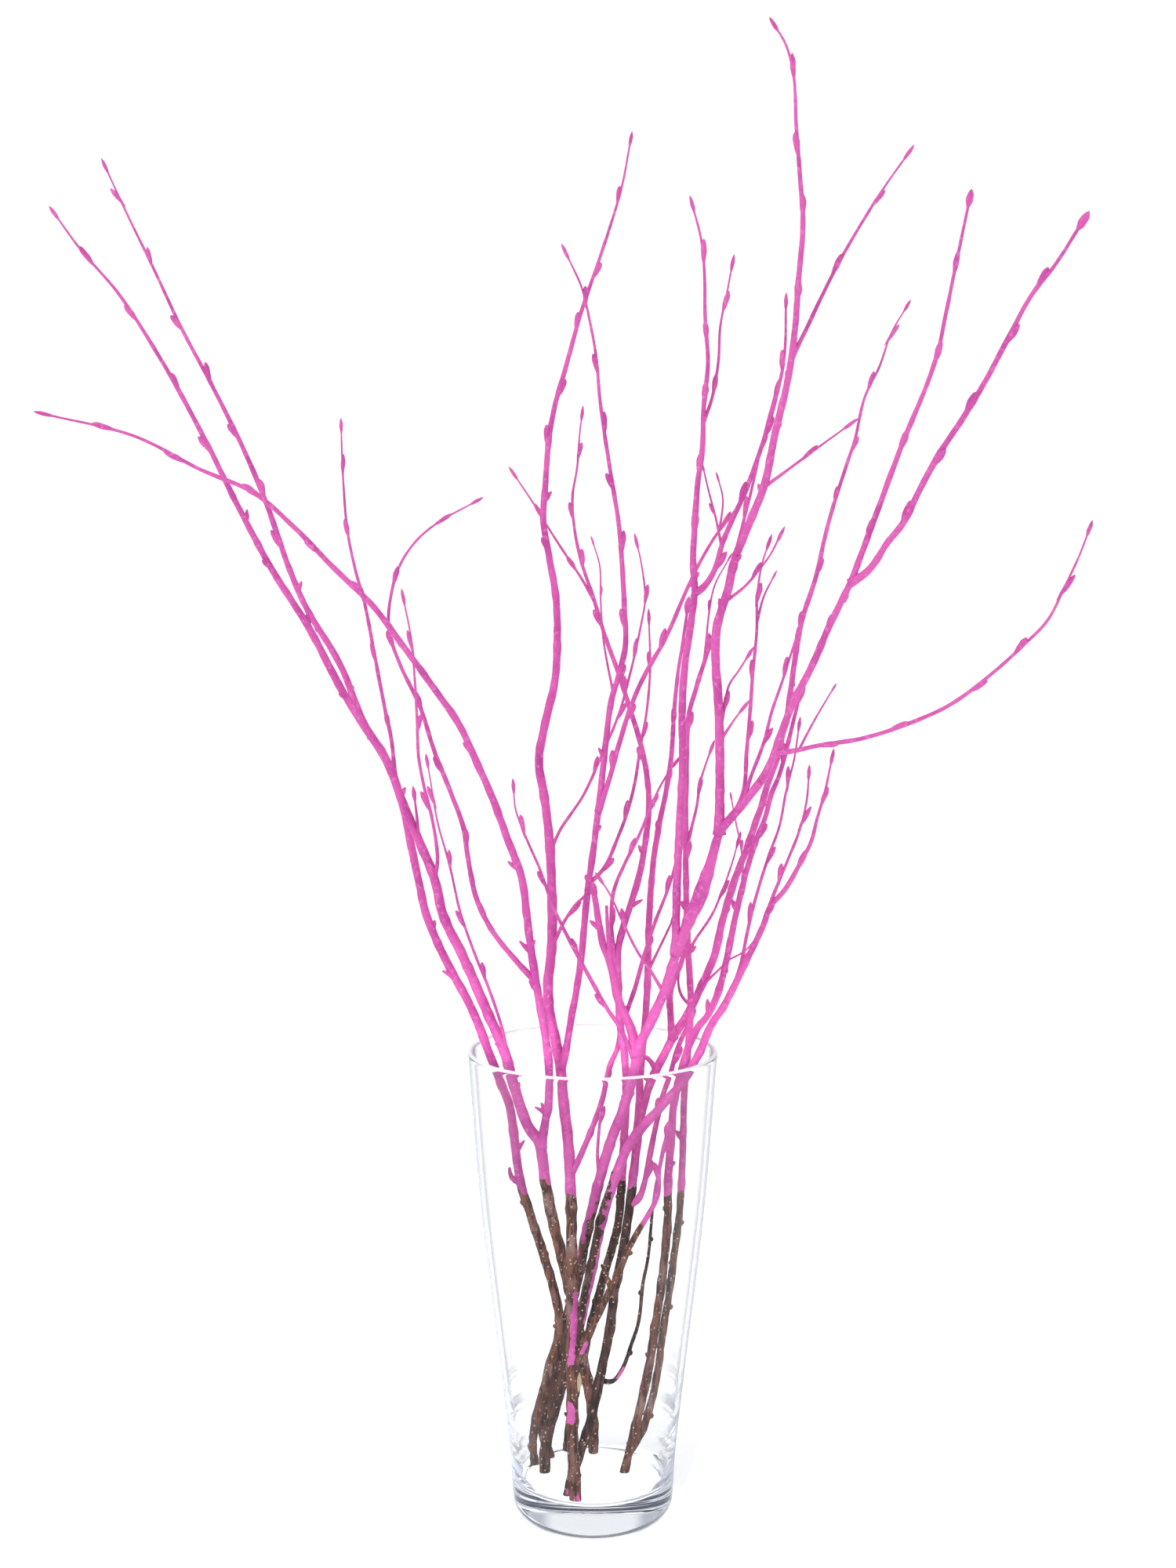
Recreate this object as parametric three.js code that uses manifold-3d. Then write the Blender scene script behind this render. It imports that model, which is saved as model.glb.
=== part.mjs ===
// A bundle of birch twigs, painted pink above their bare feet, standing in a clear glass vase.
// Millimetres, +Z up. The origin is the centre of the vase's underside.

import * as THREE from 'three';
import { mergeVertices } from 'three/addons/utils/BufferGeometryUtils.js';
import Module from 'manifold-3d';

const wasm = await Module();
wasm.setup();

// The vase: outer radii at their heights, its wall, and the thick base that the twigs stand on.
const VASE_HEIGHT = 250;
const RIM_RADIUS = 65;
const SHOULDER_RADIUS = 58.6;
const SHOULDER_HEIGHT = 166;
const WAIST_RADIUS = 49.4;
const WAIST_HEIGHT = 85;
const BASE_RADIUS = 42.6;
const BASE_CORNER = 11;
const FOOT_RADIUS = 43.8;
const FOOT_HEIGHT = 33;
const WALL = 2.6;
const FLOOR_HEIGHT = 20;
const FLOOR_CORNER = 2;
const RIM_BEVEL = 0.7;
const VASE_SIDES = 36;
const WALL_RINGS = 7;
const CORNER_RINGS = 3;

// Neighbouring pieces keep this gap: a foot over the floor, and paint above bare bark.
const GAP = 0.3;

// The twigs' solids: a ring of vertices every RING_STEP along a limb, and how a limb thins.
const RING_STEP = 24;
const TAPER_POWER = 2;
const STOUT_RADIUS = 1.2;
const STOUT_SIDES = 6;
const THIN_SIDES = 4;
const HEIGHT_STEP = 0.3;
const MERGE_DISTANCE = 1e-5;

// The buds: spindles leaning out of a limb by turns to either side, even out to the tip.
const BUD_LENGTH = 8.5;
const BUD_RADIUS = 1.5;
const BUD_SIDES = 4;
const BUD_SPACING = 64;
const BUD_SPACING_SPREAD = 14;
const BUD_LEAN = 0.42;
const BUD_TURN_SPREAD = 0.9;
const BUD_SIZE_SPREAD = 0.25;
const TIP_BUD_SINK = 0.35;
const SIDE_BUD_SINK = 0.18;
const BUD_LIMB_RADIUS = 1.5;
const BUD_SEED = 11;

// A route point is [x, z, depth]. x and z are where it is seen from EYE on the upright plane
// through the vase's axis, and depth is how far beyond that plane it lies.
const EYE = new THREE.Vector3(-2.5, -1000, 475);

// Each twig has a stem, and limbs that grow on it or on each other. A limb with a bare height
// starts as bare bark and is painted above that height; the others are painted all along. A blunt
// limb, such as a thorn or a broken stub, has no buds.
const TWIGS = {
  twig_1: {
    stem: {
      bare: 172, radii: [2.5, 0.45],
      route: [
        [-31, 24, 13], [-32.4, 36, 13.2], [-30.8, 50, 14], [-28.3, 59, 15], [-22.8, 80, 15],
        [-18.6, 95, 13.3], [-17.8, 105, 13], [-20.2, 120, 13], [-26, 140, 12], [-32.5, 160, 10],
        [-38.3, 180, 8.5], [-41.1, 200, 7], [-43.8, 220, 6], [-47.8, 231, 5], [-55, 250, 4],
        [-63, 271, 7], [-78, 300, 12], [-86.2, 320, 16], [-90.6, 340, 20], [-94.8, 360, 23],
        [-98.8, 380, 26], [-105.5, 400, 28], [-118, 421, 30], [-129.6, 450, 33], [-147, 480, 36],
        [-155.5, 500, 38], [-165.6, 530, 41], [-177.8, 560, 44], [-192.3, 590, 47], [-208, 620, 50],
        [-221.8, 650, 53], [-236, 680, 56], [-245, 700, 59],
      ],
    },
    upright_shoot: {
      on: 'stem', radii: [1.05, 0.4],
      route: [
        [-100.8, 392, 27], [-103.6, 410, 28], [-107.5, 430, 29], [-112, 455, 31], [-117, 482, 33],
        [-121.8, 500, 34.5], [-125.5, 520, 36], [-127.5, 550, 38], [-128, 571, 40],
      ],
    },
    low_stub: {
      on: 'stem', blunt: true, radii: [1.3, 0.7],
      route: [[-38.2, 179, 8.5], [-42.2, 181, 7.5], [-43.6, 184, 7.2], [-44, 187, 7]],
    },
    thorn: {
      on: 'stem', blunt: true, radii: [1.2, 0.4],
      route: [[-72.5, 288, 10], [-75.5, 290, 9], [-78.4, 291.4, 8.5]],
    },
  },
  twig_2: {
    stem: {
      bare: 181, radii: [3, 0.45],
      route: [
        [0.4, 29, 29.3], [0.1, 45, 26], [-1.5, 65, 21.5], [-4.5, 80, 18.5], [-7.6, 100, 15],
        [-12, 120, 11], [-16.4, 140, 7], [-21.5, 160, 2], [-25, 180, -3], [-27.9, 200, -8],
        [-34.3, 210, -9], [-41, 230, -10], [-46.6, 250, -11], [-55.3, 270, -11], [-68, 300, -8],
        [-77.5, 320, -5], [-82.3, 340, -2.5], [-90.2, 360, 1], [-98.5, 380, 3], [-106, 400, 2],
        [-119, 421, 0], [-130.5, 440, -2], [-146, 470, -6], [-164.7, 500, -10], [-180.4, 530, -14],
        [-195, 560, -18], [-210.5, 590, -22], [-222, 610, -25], [-240, 638, -29], [-258.8, 660, -33],
        [-271, 677, -36],
      ],
    },
    long_arm: {
      on: 'stem', radii: [2.1, 0.45],
      route: [
        [-27.6, 198, -7.5], [-24.9, 211, -10], [-23, 222, -11.5], [-23, 240, -14], [-25.2, 260, -17.5],
        [-28.7, 280, -21], [-31.8, 300, -24], [-34.2, 320, -27], [-36.9, 340, -30], [-44, 360, -33],
        [-51.2, 380, -36], [-59.9, 400, -39], [-69, 420, -42], [-81.5, 438, -45], [-97.3, 460, -49],
        [-112.3, 480, -52], [-132.6, 500, -55], [-152, 520, -59], [-173, 538, -63], [-200.5, 550, -67],
        [-233, 566.5, -73], [-278, 577.5, -80],
      ],
    },
    curled_shoot: {
      on: 'long_arm', radii: [1.35, 0.4],
      route: [
        [-30, 284, -21.5], [-42, 299, -21], [-52.3, 312.5, -19], [-60.3, 329, -16], [-64.8, 351, -11],
        [-66.8, 366, -7], [-74, 386, -3], [-81.7, 406, 1], [-89, 429, 5], [-98.8, 450, 8],
        [-104.4, 467, 10], [-104.4, 480, 11.5], [-99.3, 500, 14], [-90, 514, 16], [-79, 523, 17],
        [-60, 533.5, 18],
      ],
    },
    rim_shoot: {
      on: 'stem', radii: [0.8, 0.35],
      route: [
        [-44.8, 243, -11], [-46.8, 258.5, -14], [-54, 281.5, -18], [-60.6, 298, -20], [-68.7, 321.5, -22],
        [-74.3, 347, -23.5], [-80.4, 369.5, -25], [-83.9, 391, -26], [-85.4, 400, -26.5],
      ],
    },
    knot_shoot: {
      on: 'stem', radii: [0.9, 0.4],
      route: [
        [-82, 338, -3], [-80.5, 350, -4], [-83, 370, -5], [-87.7, 390, -6], [-90, 404, -7],
        [-90.5, 420, -8], [-91.7, 445, -9], [-93.3, 464, -10], [-97, 484, -11],
      ],
    },
    spur: {
      on: 'stem', radii: [0.75, 0.5],
      route: [[-90, 360, 1], [-91, 372, 0], [-92.3, 383, -1]],
    },
    low_thorn: {
      on: 'long_arm', blunt: true, radii: [1.1, 0.35],
      route: [[-24.2, 216.5, -11], [-27.5, 218, -11.5], [-30.2, 219.4, -12]],
    },
    high_thorn: {
      on: 'long_arm', blunt: true, radii: [1.2, 0.35],
      route: [[-32.8, 302, -24.3], [-35.5, 304.3, -24.5], [-38.1, 307, -24.7]],
    },
  },
  twig_3: {
    stem: {
      bare: 174, radii: [3, 0.45],
      route: [
        [-9, 1, -32], [-9.6, 20, -30.8], [-10.5, 40, -29.5], [-11, 80, -25], [-11, 120, -18.5],
        [-11.1, 150, -12.5], [-11.8, 180, -6], [-12.8, 200, -2], [-15.2, 220, 3], [-16.9, 241, 8],
        [-19.5, 255, 11], [-22.8, 271, 14], [-23.3, 284, 15.5], [-21.5, 302, 17], [-21.4, 340, 21],
        [-22.6, 360, 23], [-25, 382, 25], [-27.8, 401, 26], [-24.7, 420, 27], [-19.5, 442, 28],
        [-18.3, 465, 29], [-19, 486, 30], [-22.5, 506, 31], [-25.3, 524, 32], [-24.2, 542, 33],
        [-22.3, 566, 34], [-19, 583, 35], [-14.4, 599, 36], [-5.8, 629, 38], [1.5, 650, 40], [9, 672, 42],
        [14.6, 691, 43.5], [18.8, 713, 45],
      ],
    },
    low_branch: {
      on: 'stem', bare: 160, radii: [1.9, 0.7],
      route: [
        [-10.5, 79, -25], [-6.8, 86.5, -24.5], [-0.5, 100.5, -23], [5.7, 114, -21], [13, 129, -18.5],
        [19.8, 145.5, -16.5], [28.6, 161, -15], [33, 169.5, -14], [34.6, 177, -13.5], [34.6, 184, -13],
        [36.4, 195, -12.3], [39, 207, -11.5],
      ],
    },
    side_branch: {
      on: 'stem', radii: [1.5, 0.6],
      route: [
        [-11.9, 183, -5.4], [-7.5, 191, -5], [-2, 204, -2], [4.6, 222, 3], [8.7, 240, 7.5], [13, 251, 10],
        [14.8, 262, 11.5], [18.5, 272, 12], [22.4, 283.5, 12.5], [26.3, 298, 13], [32, 316, 14],
        [37, 329, 14.5], [41, 340, 15], [43.5, 352, 15.5],
      ],
    },
    right_arm: {
      on: 'stem', radii: [1.8, 0.4],
      route: [
        [-16.8, 239, 7.5], [-14, 250, 8], [-11.3, 266, 6.5], [-8.5, 281, 5], [-5.9, 300, 3.5],
        [-4, 320, 1.5], [-2, 339, 0], [0.3, 355, -1.5], [3, 377, -3.8], [5, 395, -5.5], [7.2, 415, -7.3],
        [9.5, 432, -9], [13.5, 446, -10.3], [16.8, 461, -11.5], [16.2, 478, -12.8], [15.2, 497, -14.2],
        [13.5, 520, -16.5], [9.5, 545, -19], [6.2, 566, -21], [3.4, 586, -23], [1.7, 606, -25],
        [-1.8, 625, -27], [-5.8, 641, -29], [-13.5, 657.5, -31],
      ],
    },
    crossing_shoot: {
      on: 'right_arm', radii: [1.3, 0.5],
      route: [
        [2.6, 374, -3.5], [8, 390, -6.5], [13.6, 410, -9.5], [20, 430, -13], [26.5, 445, -16],
        [37.5, 464.5, -20], [44.5, 480.5, -24], [51.5, 496.5, -27], [61.5, 514.5, -31], [73, 530, -35],
        [77, 538, -37],
      ],
    },
    cluster_shoot: {
      on: 'right_arm', radii: [0.95, 0.4],
      route: [
        [-1.6, 337, 0.2], [5.6, 345, 2], [12.7, 360.5, 5], [18.3, 376, 7], [21.9, 391, 8.5],
        [24.4, 408, 9], [27.5, 425, 8], [29.4, 448, 5.5], [28.7, 474, 2.5],
      ],
    },
    thin_shoot: {
      on: 'stem', radii: [0.8, 0.4],
      route: [
        [-22.2, 354, 22.4], [-17, 365, 22], [-5, 383, 20], [5, 405, 17], [13.5, 425.5, 15],
        [19.5, 447.5, 13], [25, 472.5, 11.5], [26.8, 484.5, 11], [24.6, 503, 10.3], [22.4, 512.5, 10],
      ],
    },
    bridge: {
      on: 'stem', radii: [0.9, 0.7],
      route: [[-21.4, 303, 17], [-15, 317, 13], [-9, 326, 9], [-4, 331, 5], [-2.6, 334, 0.9]],
    },
    hair_shoot: {
      on: 'right_arm', radii: [0.55, 0.35],
      route: [
        [10.5, 436, -9.3], [7.5, 450.5, -11], [5.3, 464, -12.5], [4, 483, -14], [3.5, 501, -15],
        [0, 513, -16],
      ],
    },
  },
  twig_4: {
    stem: {
      bare: 161, radii: [3, 0.6],
      route: [
        [-23, 27, 23], [-26, 40, 21.5], [-27, 50, 21], [-25, 59, 22], [-18, 80, 23], [-13.8, 103, 21],
        [-10.8, 115, 20], [-7.5, 130, 17], [-4, 149, 11], [0, 166, 5], [3.5, 180, -1], [9, 200, -9],
        [16.4, 220, -17], [22, 240, -24], [24.5, 252, -29], [31, 266, -34], [38.2, 283, -38],
        [43.3, 300, -42], [49, 315.5, -46], [56, 332, -50], [62, 351, -54], [65.8, 364, -57.5],
        [72, 372, -62], [81.5, 383.5, -69], [90.5, 397, -77], [96.5, 413, -86], [102.5, 430, -94],
        [112.4, 449.5, -102], [121.2, 470, -110], [132, 493, -118], [138.7, 511, -122],
        [146.7, 533, -126], [158.3, 565, -131], [168.9, 591, -134], [174.6, 608, -136],
        [178.8, 629, -138], [182.8, 650, -140], [189.5, 684, -143],
      ],
    },
    outer_arm: {
      on: 'stem', radii: [1.7, 0.7],
      route: [
        [131.5, 492, -118], [141.3, 499, -122], [150.7, 513, -127], [158.7, 523, -131],
        [166.8, 540, -137], [176.8, 558.5, -143], [187.4, 574.5, -149], [199, 594, -156],
        [211, 617, -162], [221.7, 637, -166], [233.6, 652.5, -170], [246.5, 673, -174],
      ],
    },
    tall_arm: {
      on: 'stem', radii: [2.2, 0.45],
      route: [
        [65.3, 362, -57], [65.5, 374, -58.5], [65.6, 403, -61], [64.6, 430, -63], [63, 455, -65],
        [63.7, 470, -66], [69.4, 490, -67], [72.2, 503, -68], [79, 520.5, -70], [87.2, 541.5, -72.5],
        [92.5, 567, -76], [98.7, 594, -79], [102.3, 620, -82], [103.9, 645, -85], [105.8, 672, -88],
        [104.2, 695, -91], [102, 720, -94], [100.5, 745, -96.5], [96.5, 760, -98], [91, 769, -99],
      ],
    },
    tall_side_shoot: {
      on: 'tall_arm', radii: [0.95, 0.4],
      route: [
        [101, 604, -80.5], [107.2, 618.5, -80], [115.2, 635.5, -79], [124, 653, -78], [136.5, 674.5, -77],
        [147, 691, -76], [158, 706.5, -75],
      ],
    },
    tall_low_shoot: {
      on: 'tall_arm', radii: [0.7, 0.35],
      route: [[87.4, 541.5, -72.5], [93.6, 545.5, -73.5], [108.6, 556.5, -76], [130, 572, -79]],
    },
    slant_shoot: {
      on: 'tall_arm', radii: [0.65, 0.4],
      route: [
        [67, 481, -66.5], [77.7, 490.5, -66], [84.6, 498.5, -65.5], [90.6, 506.5, -65], [95.5, 516, -65],
      ],
    },
    bent_shoot: {
      on: 'tall_arm', radii: [0.65, 0.4],
      route: [[65.6, 412, -62], [67.5, 427, -60.5], [70, 440, -60], [75, 447.5, -60], [80, 455.5, -61]],
    },
    short_shoot: {
      on: 'tall_arm', radii: [0.6, 0.4],
      route: [[65.7, 410, -62], [73.7, 423.5, -66], [77.2, 428, -67]],
    },
    mid_shoot: {
      on: 'stem', radii: [1, 0.4],
      route: [
        [74, 374, -63], [78, 386, -63], [79.3, 405, -61], [80.7, 423.5, -59], [82.2, 446, -56.5],
        [84, 467, -54], [84.2, 486, -52.5], [86.5, 502, -51.5], [89.7, 512, -51],
      ],
    },
    mid_side_shoot: {
      on: 'mid_shoot', radii: [0.55, 0.35],
      route: [[84.1, 473, -53.5], [87.6, 485.5, -52.5], [92.5, 495.5, -52]],
    },
    parallel_shoot: {
      on: 'stem', radii: [0.9, 0.45],
      route: [
        [77.5, 379, -66.5], [81, 391, -67], [88, 410, -69], [92, 426, -70.5], [98, 444, -72],
        [105, 467, -73.5],
      ],
    },
    drooping_shoot: {
      on: 'stem', radii: [1.3, 0.4],
      route: [
        [94, 406, -82], [101, 405.8, -86], [117, 409, -90], [138.5, 412.5, -95], [160, 419.3, -100],
        [184, 430, -105], [206.3, 447, -110], [220.4, 460, -113], [233, 473, -116], [241.9, 491, -119],
        [249, 507, -121], [253.3, 519, -122],
      ],
    },
    needle_shoot: {
      on: 'drooping_shoot', radii: [0.5, 0.35],
      route: [[106.3, 406.5, -87.5], [114.4, 422.5, -90], [123.5, 438, -92]],
    },
    middle_arm: {
      on: 'stem', radii: [2, 0.45],
      route: [
        [43.3, 300, -42], [43.2, 312, -44.5], [43.5, 330, -45], [44.3, 352, -46], [45.2, 375, -47],
        [46.4, 400, -48], [46, 428, -49.5], [47.2, 450, -51], [50, 470, -52.5], [52.2, 488, -53.5],
        [51.3, 502, -54], [52.2, 526, -55], [53.5, 544, -56], [55.7, 560, -57], [56.3, 581, -58.5],
        [58.3, 603, -60], [56.8, 625, -61.5], [56.2, 650, -63], [54.5, 665, -64], [50.2, 681, -65],
      ],
    },
    middle_right_arm: {
      on: 'middle_arm', radii: [1.3, 0.45],
      route: [
        [52, 486, -53.4], [56.5, 490, -54], [62, 498.5, -54.5], [66.6, 513.5, -55.5], [71, 524, -56],
        [77.5, 538, -57], [84.5, 557.5, -58.5], [92.8, 585, -60.5], [97, 606.5, -62], [97.6, 633, -64],
      ],
    },
    middle_side_shoot: {
      on: 'middle_arm', radii: [0.75, 0.35],
      route: [
        [56.2, 573, -58], [60.3, 585, -57.5], [63.5, 603, -56.5], [64.5, 622, -55.5], [67.5, 637, -54.5],
        [70.3, 652, -54],
      ],
    },
    back_slant_shoot: {
      on: 'middle_right_arm', radii: [0.55, 0.35],
      route: [[66, 512, -55.3], [62.5, 526, -53], [59, 539, -51.5], [56.3, 550, -50]],
    },
    hook_shoot: {
      on: 'back_slant_shoot', radii: [0.45, 0.35],
      route: [[64.4, 519, -54.3], [65.8, 527, -53.5], [66.2, 536, -53], [63.8, 545, -52.5]],
    },
    left_arm: {
      on: 'stem', radii: [2.3, 1.4],
      route: [
        [23, 247, -26.8], [19.4, 262, -27], [13.7, 275, -25.5], [9.6, 294, -22.5], [5.5, 305, -20],
        [3.6, 314, -18], [1.6, 326, -15.5], [0.5, 333, -14],
      ],
    },
    broken_shoot: {
      on: 'left_arm', blunt: true, radii: [1, 0.8],
      route: [[9.2, 295, -22.3], [8.3, 305, -22.8], [7.6, 315, -23.2], [7.1, 325.6, -23.5]],
    },
    leaning_shoot: {
      on: 'stem', radii: [1.1, 0.35],
      route: [
        [22, 243, -25], [14, 261.5, -33], [7.7, 271, -36], [-2, 288.5, -38], [-11.7, 306.5, -40],
        [-20.8, 325.5, -41.5], [-27.2, 344, -42.5], [-33.9, 359.5, -43.5], [-40, 376, -44.5],
        [-41, 387, -45],
      ],
    },
    diagonal_shoot: {
      on: 'stem', radii: [0.75, 0.4],
      route: [
        [37, 280, -37.3], [30, 291.5, -41], [22.9, 302, -42], [15.8, 316.5, -43], [8.6, 332, -44],
        [4, 339, -44.5],
      ],
    },
    inner_shoot: {
      on: 'stem', radii: [0.85, 0.5],
      route: [[3.5, 180, -1], [2.4, 194, -6], [3.2, 206, -9], [5, 222, -10.5], [7.5, 236, -11]],
    },
  },
  twig_5: {
    stem: {
      bare: 160, radii: [3, 0.45],
      route: [
        [-25.8, 20, 4], [-25.5, 33, 4.5], [-23.4, 46, 5.5], [-20, 57, 6.5], [-13.5, 80, 6.5],
        [-8, 100, 5.5], [-3.4, 120, 4], [1, 140, 2], [5, 160, -1.5], [10.5, 178, -5], [14.8, 190, -8],
        [20, 201, -10.8], [28, 211, -12.3], [34.3, 218, -13], [46.5, 232.5, -14.5], [55.7, 248, -17],
        [61.7, 262.5, -20], [68, 272, -22.3], [75, 286, -26], [83, 303, -31], [88.7, 315.5, -34.5],
        [92, 325, -37.5], [99.4, 333.5, -41], [106.6, 346, -46], [113, 359, -51], [116, 371, -54.5],
        [119.9, 385, -58], [123.3, 402, -62],
      ],
    },
    left_shoot: {
      on: 'stem', radii: [0.8, 0.4],
      route: [
        [90.5, 321, -36], [93.3, 330, -38.5], [100.4, 348, -43.5], [107.3, 366, -48], [110.6, 381, -51],
        [111.5, 394, -53],
      ],
    },
    back_shoot: {
      on: 'stem', radii: [0.9, 0.4],
      route: [
        [74, 284, -25.5], [77.5, 297, -23.5], [81, 315, -20.5], [85.2, 332, -17.5], [91.3, 352, -14.5],
        [96.5, 367, -12.3], [100, 386, -10], [104, 402.5, -8], [106.2, 419, -6.5],
      ],
    },
  },
  twig_6: {
    stem: {
      bare: 181, radii: [2.3, 0.4],
      route: [
        [-14.3, 30, 30.5], [-12.9, 45, 30.5], [-10.4, 60, 30], [-6, 80, 28], [-1.6, 100, 24],
        [3.6, 120, 20], [9.2, 140, 16], [13.5, 158, 12], [15.1, 175, 8.5], [16, 195, 5], [17.2, 215, 2.5],
        [17.5, 232, 1], [16.3, 249, 0.5], [14, 265, 1], [13.2, 285, 4], [13.3, 303, 7], [16, 315, 10],
        [20.5, 329, 12.5], [24.5, 343, 14.5], [27.3, 360, 17], [29, 378, 20], [27.8, 394, 22.5],
        [24, 412, 26], [19.5, 426.5, 28.5], [13, 446.5, 32], [6.5, 464.5, 36], [0, 485.5, 40],
        [-6, 503.5, 44], [-9.6, 521, 48], [-10.4, 536, 51], [-8, 551, 54.5], [-6.8, 567, 58],
        [-5.6, 577, 60],
      ],
    },
    left_shoot: {
      on: 'stem', radii: [0.7, 0.4],
      route: [
        [0.4, 484, 39.7], [-6.5, 495.5, 43], [-14.5, 507.5, 47], [-21, 517.5, 50.5], [-30.9, 533.5, 55.5],
        [-40, 547, 59],
      ],
    },
    right_shoot: {
      on: 'stem', radii: [1.1, 0.4],
      route: [
        [13.3, 288, 4.5], [11.6, 296, 5.5], [10, 310, 6.5], [9.6, 322, 6.5], [11, 334, 4], [16, 346.5, 1],
        [24, 362.5, -2], [31, 380, -4], [38, 393.5, -5], [42.3, 399.5, -6],
      ],
    },
  },
  twig_7: {
    stem: {
      bare: 163, radii: [2.5, 0.4],
      route: [
        [-14.3, 4, -26.5], [-10.5, 20, -23.5], [-6.8, 32, -21.3], [-1.8, 48, -18], [5.2, 80, -12],
        [9, 100, -9], [11.4, 120, -6], [15.6, 140, -2], [18.5, 160, 1], [21, 180, 5], [23, 197, 8],
        [24.6, 210, 10], [26.6, 220, 11], [29.7, 231, 12.6], [33.5, 239.6, 14.4], [38.3, 249, 17],
        [43, 258, 19.5], [49.2, 268, 22.3], [57.3, 285, 26],
        [63.5, 300, 30], [67, 316, 33], [70.9, 330.5, 36], [75.5, 344.6, 39], [79.3, 354, 41],
        [83.9, 368, 44], [87.6, 379, 46], [89.9, 388, 47.5], [93.3, 397.6, 49.3], [95.6, 404, 50.5],
        [97.8, 414.7, 52.3], [99.7, 421, 53.5], [101, 431, 55], [104, 455, 59], [107.5, 474, 62],
        [114, 495, 65], [118.4, 515, 68], [122, 529, 70], [128.8, 551, 73.5], [133.3, 565, 75.5],
        [138, 586, 78.5], [145.3, 601.5, 81], [151, 618, 83], [158.5, 631, 85],
      ],
    },
    back_arm: {
      on: 'stem', radii: [1.9, 0.7],
      route: [
        [24.2, 207, 9.6], [24.3, 222, 12], [25.3, 242, 14.5], [27.6, 268, 18.5], [28.6, 290, 21.5],
        [29, 311, 24], [30, 332, 27], [31.5, 350, 30], [34.4, 368, 33], [38, 386, 36], [40.6, 405, 39],
        [41.7, 424, 41.5], [43.7, 446, 44.5], [46.7, 466, 48], [48.6, 480, 50],
      ],
    },
    back_arm_shoot: {
      on: 'back_arm', radii: [0.7, 0.5],
      route: [[28.7, 291, 21.7], [34, 302, 22.5], [38, 310.5, 23.5], [42, 319, 25]],
    },
    low_shoot: {
      on: 'stem', bare: 168, radii: [1, 0.6],
      route: [
        [3.3, 71.5, -13.4], [10, 71.3, -12], [14.5, 76, -10.8], [20.5, 92, -8], [24.2, 104, -6.8],
        [26.5, 125, -5], [29, 138, -4.5], [31, 160, -5], [31.7, 168, -6.3], [33.3, 179, -7.5],
        [36, 190, -8], [37.8, 198, -8],
      ],
    },
    side_shoot: {
      on: 'stem', radii: [1.5, 1.2],
      route: [
        [19.3, 167, 2.1], [24.5, 171, 2], [27, 178, 2.3], [29.4, 190, 3.2], [31.6, 202, 4.5],
        [34.2, 214, 7.5], [37.1, 226, 12], [40.2, 235, 16], [42.2, 243, 20], [45.4, 253.4, 25],
        [49.5, 262, 29], [51.5, 268, 31],
      ],
    },
    front_arm: {
      on: 'stem', radii: [1.8, 1],
      route: [
        [41.5, 255.5, 18.9], [40.9, 262, 14], [40.4, 270, 7.5], [40.2, 279, 1], [42.8, 288, -4],
        [46.5, 297, -9], [47.6, 308, -12],
      ],
    },
    front_stub: {
      on: 'stem', blunt: true, radii: [1.2, 0.9],
      route: [[33.6, 240, 14.5], [29.3, 244.6, 13], [26.6, 246.4, 12]],
    },
    slim_twiglet: {
      on: 'stem', radii: [0.7, 0.5],
      route: [[51.3, 272, 23.3], [46.4, 278, 20], [44.6, 284.6, 16], [45, 291, 12], [46.8, 298, 8]],
    },
    twiglet: {
      on: 'stem', radii: [0.6, 0.4],
      route: [[57.5, 284, 25.8], [64.7, 291, 23], [70.8, 297, 20.5], [78, 301, 18], [83.5, 306, 16]],
    },
  },
  twig_8: {
    stem: {
      bare: 172, radii: [2.4, 0.5],
      route: [
        [15.6, 17, 3.8], [18.5, 29, 3.8], [21.3, 40, 3.8], [26, 60, 3.7], [30, 80, 3.4], [32.9, 100, 3],
        [36, 120, 2.3], [38, 140, 1.5], [39.5, 160, 0.5], [39.7, 180, -0.3], [41, 200, -1],
        [42.3, 220, -2], [46, 237, -3.8], [50, 251, -5], [54.6, 261, -6.2], [60, 268, -7.3],
        [65.3, 280, -9], [69.4, 296, -11], [72, 309, -13], [74.3, 321, -14.5], [77.5, 335, -16.5],
        [80.1, 345.4, -18], [84.7, 360, -20], [89.3, 372, -21], [92.2, 383.6, -22], [95.7, 392.2, -23],
        [98.3, 400.7, -24], [102, 416, -25], [105, 428.6, -26], [107.2, 438, -27], [112.4, 450, -28.5],
        [121.2, 470, -31], [129, 487, -33],
      ],
    },
    curled_shoot: {
      on: 'stem', radii: [0.55, 0.35],
      route: [[77, 334, -16.4], [77.6, 348, -19.5], [76.6, 357, -21], [74, 369, -22], [71.5, 382, -23]],
    },
    second_stem: {
      on: 'stem', bare: 172, radii: [2, 0.45],
      route: [
        [20.3, 36, 3.8], [25.6, 43, 4], [31.2, 60, 4.2], [35.2, 80, 4.4], [37.6, 100, 4.5],
        [40.6, 120, 4.6], [43.2, 140, 4.7], [45.7, 160, 4.8], [46.9, 180, 5], [47.6, 200, 5.4],
        [48.2, 228, 6], [49.6, 248, 6], [50.8, 265, 5], [51, 279, 4], [50, 296, 1.8], [48.8, 318, -1.8],
        [48.3, 340, -5.7], [48, 370, -10], [48.3, 400, -13], [49.3, 424, -15], [53, 438, -16],
        [58.7, 456.5, -18], [64.5, 473, -20], [69.5, 490, -22], [72.3, 505, -23.5], [76.5, 522, -25.2],
        [81, 540, -26.7], [87, 567, -29.5], [93, 590, -32],
      ],
    },
    budded_shoot: {
      on: 'second_stem', radii: [0.8, 0.45],
      route: [
        [48.1, 355, -8], [51, 366, -9.5], [54, 379, -11.5], [55.2, 389, -13], [58.5, 400, -14.8],
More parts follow.
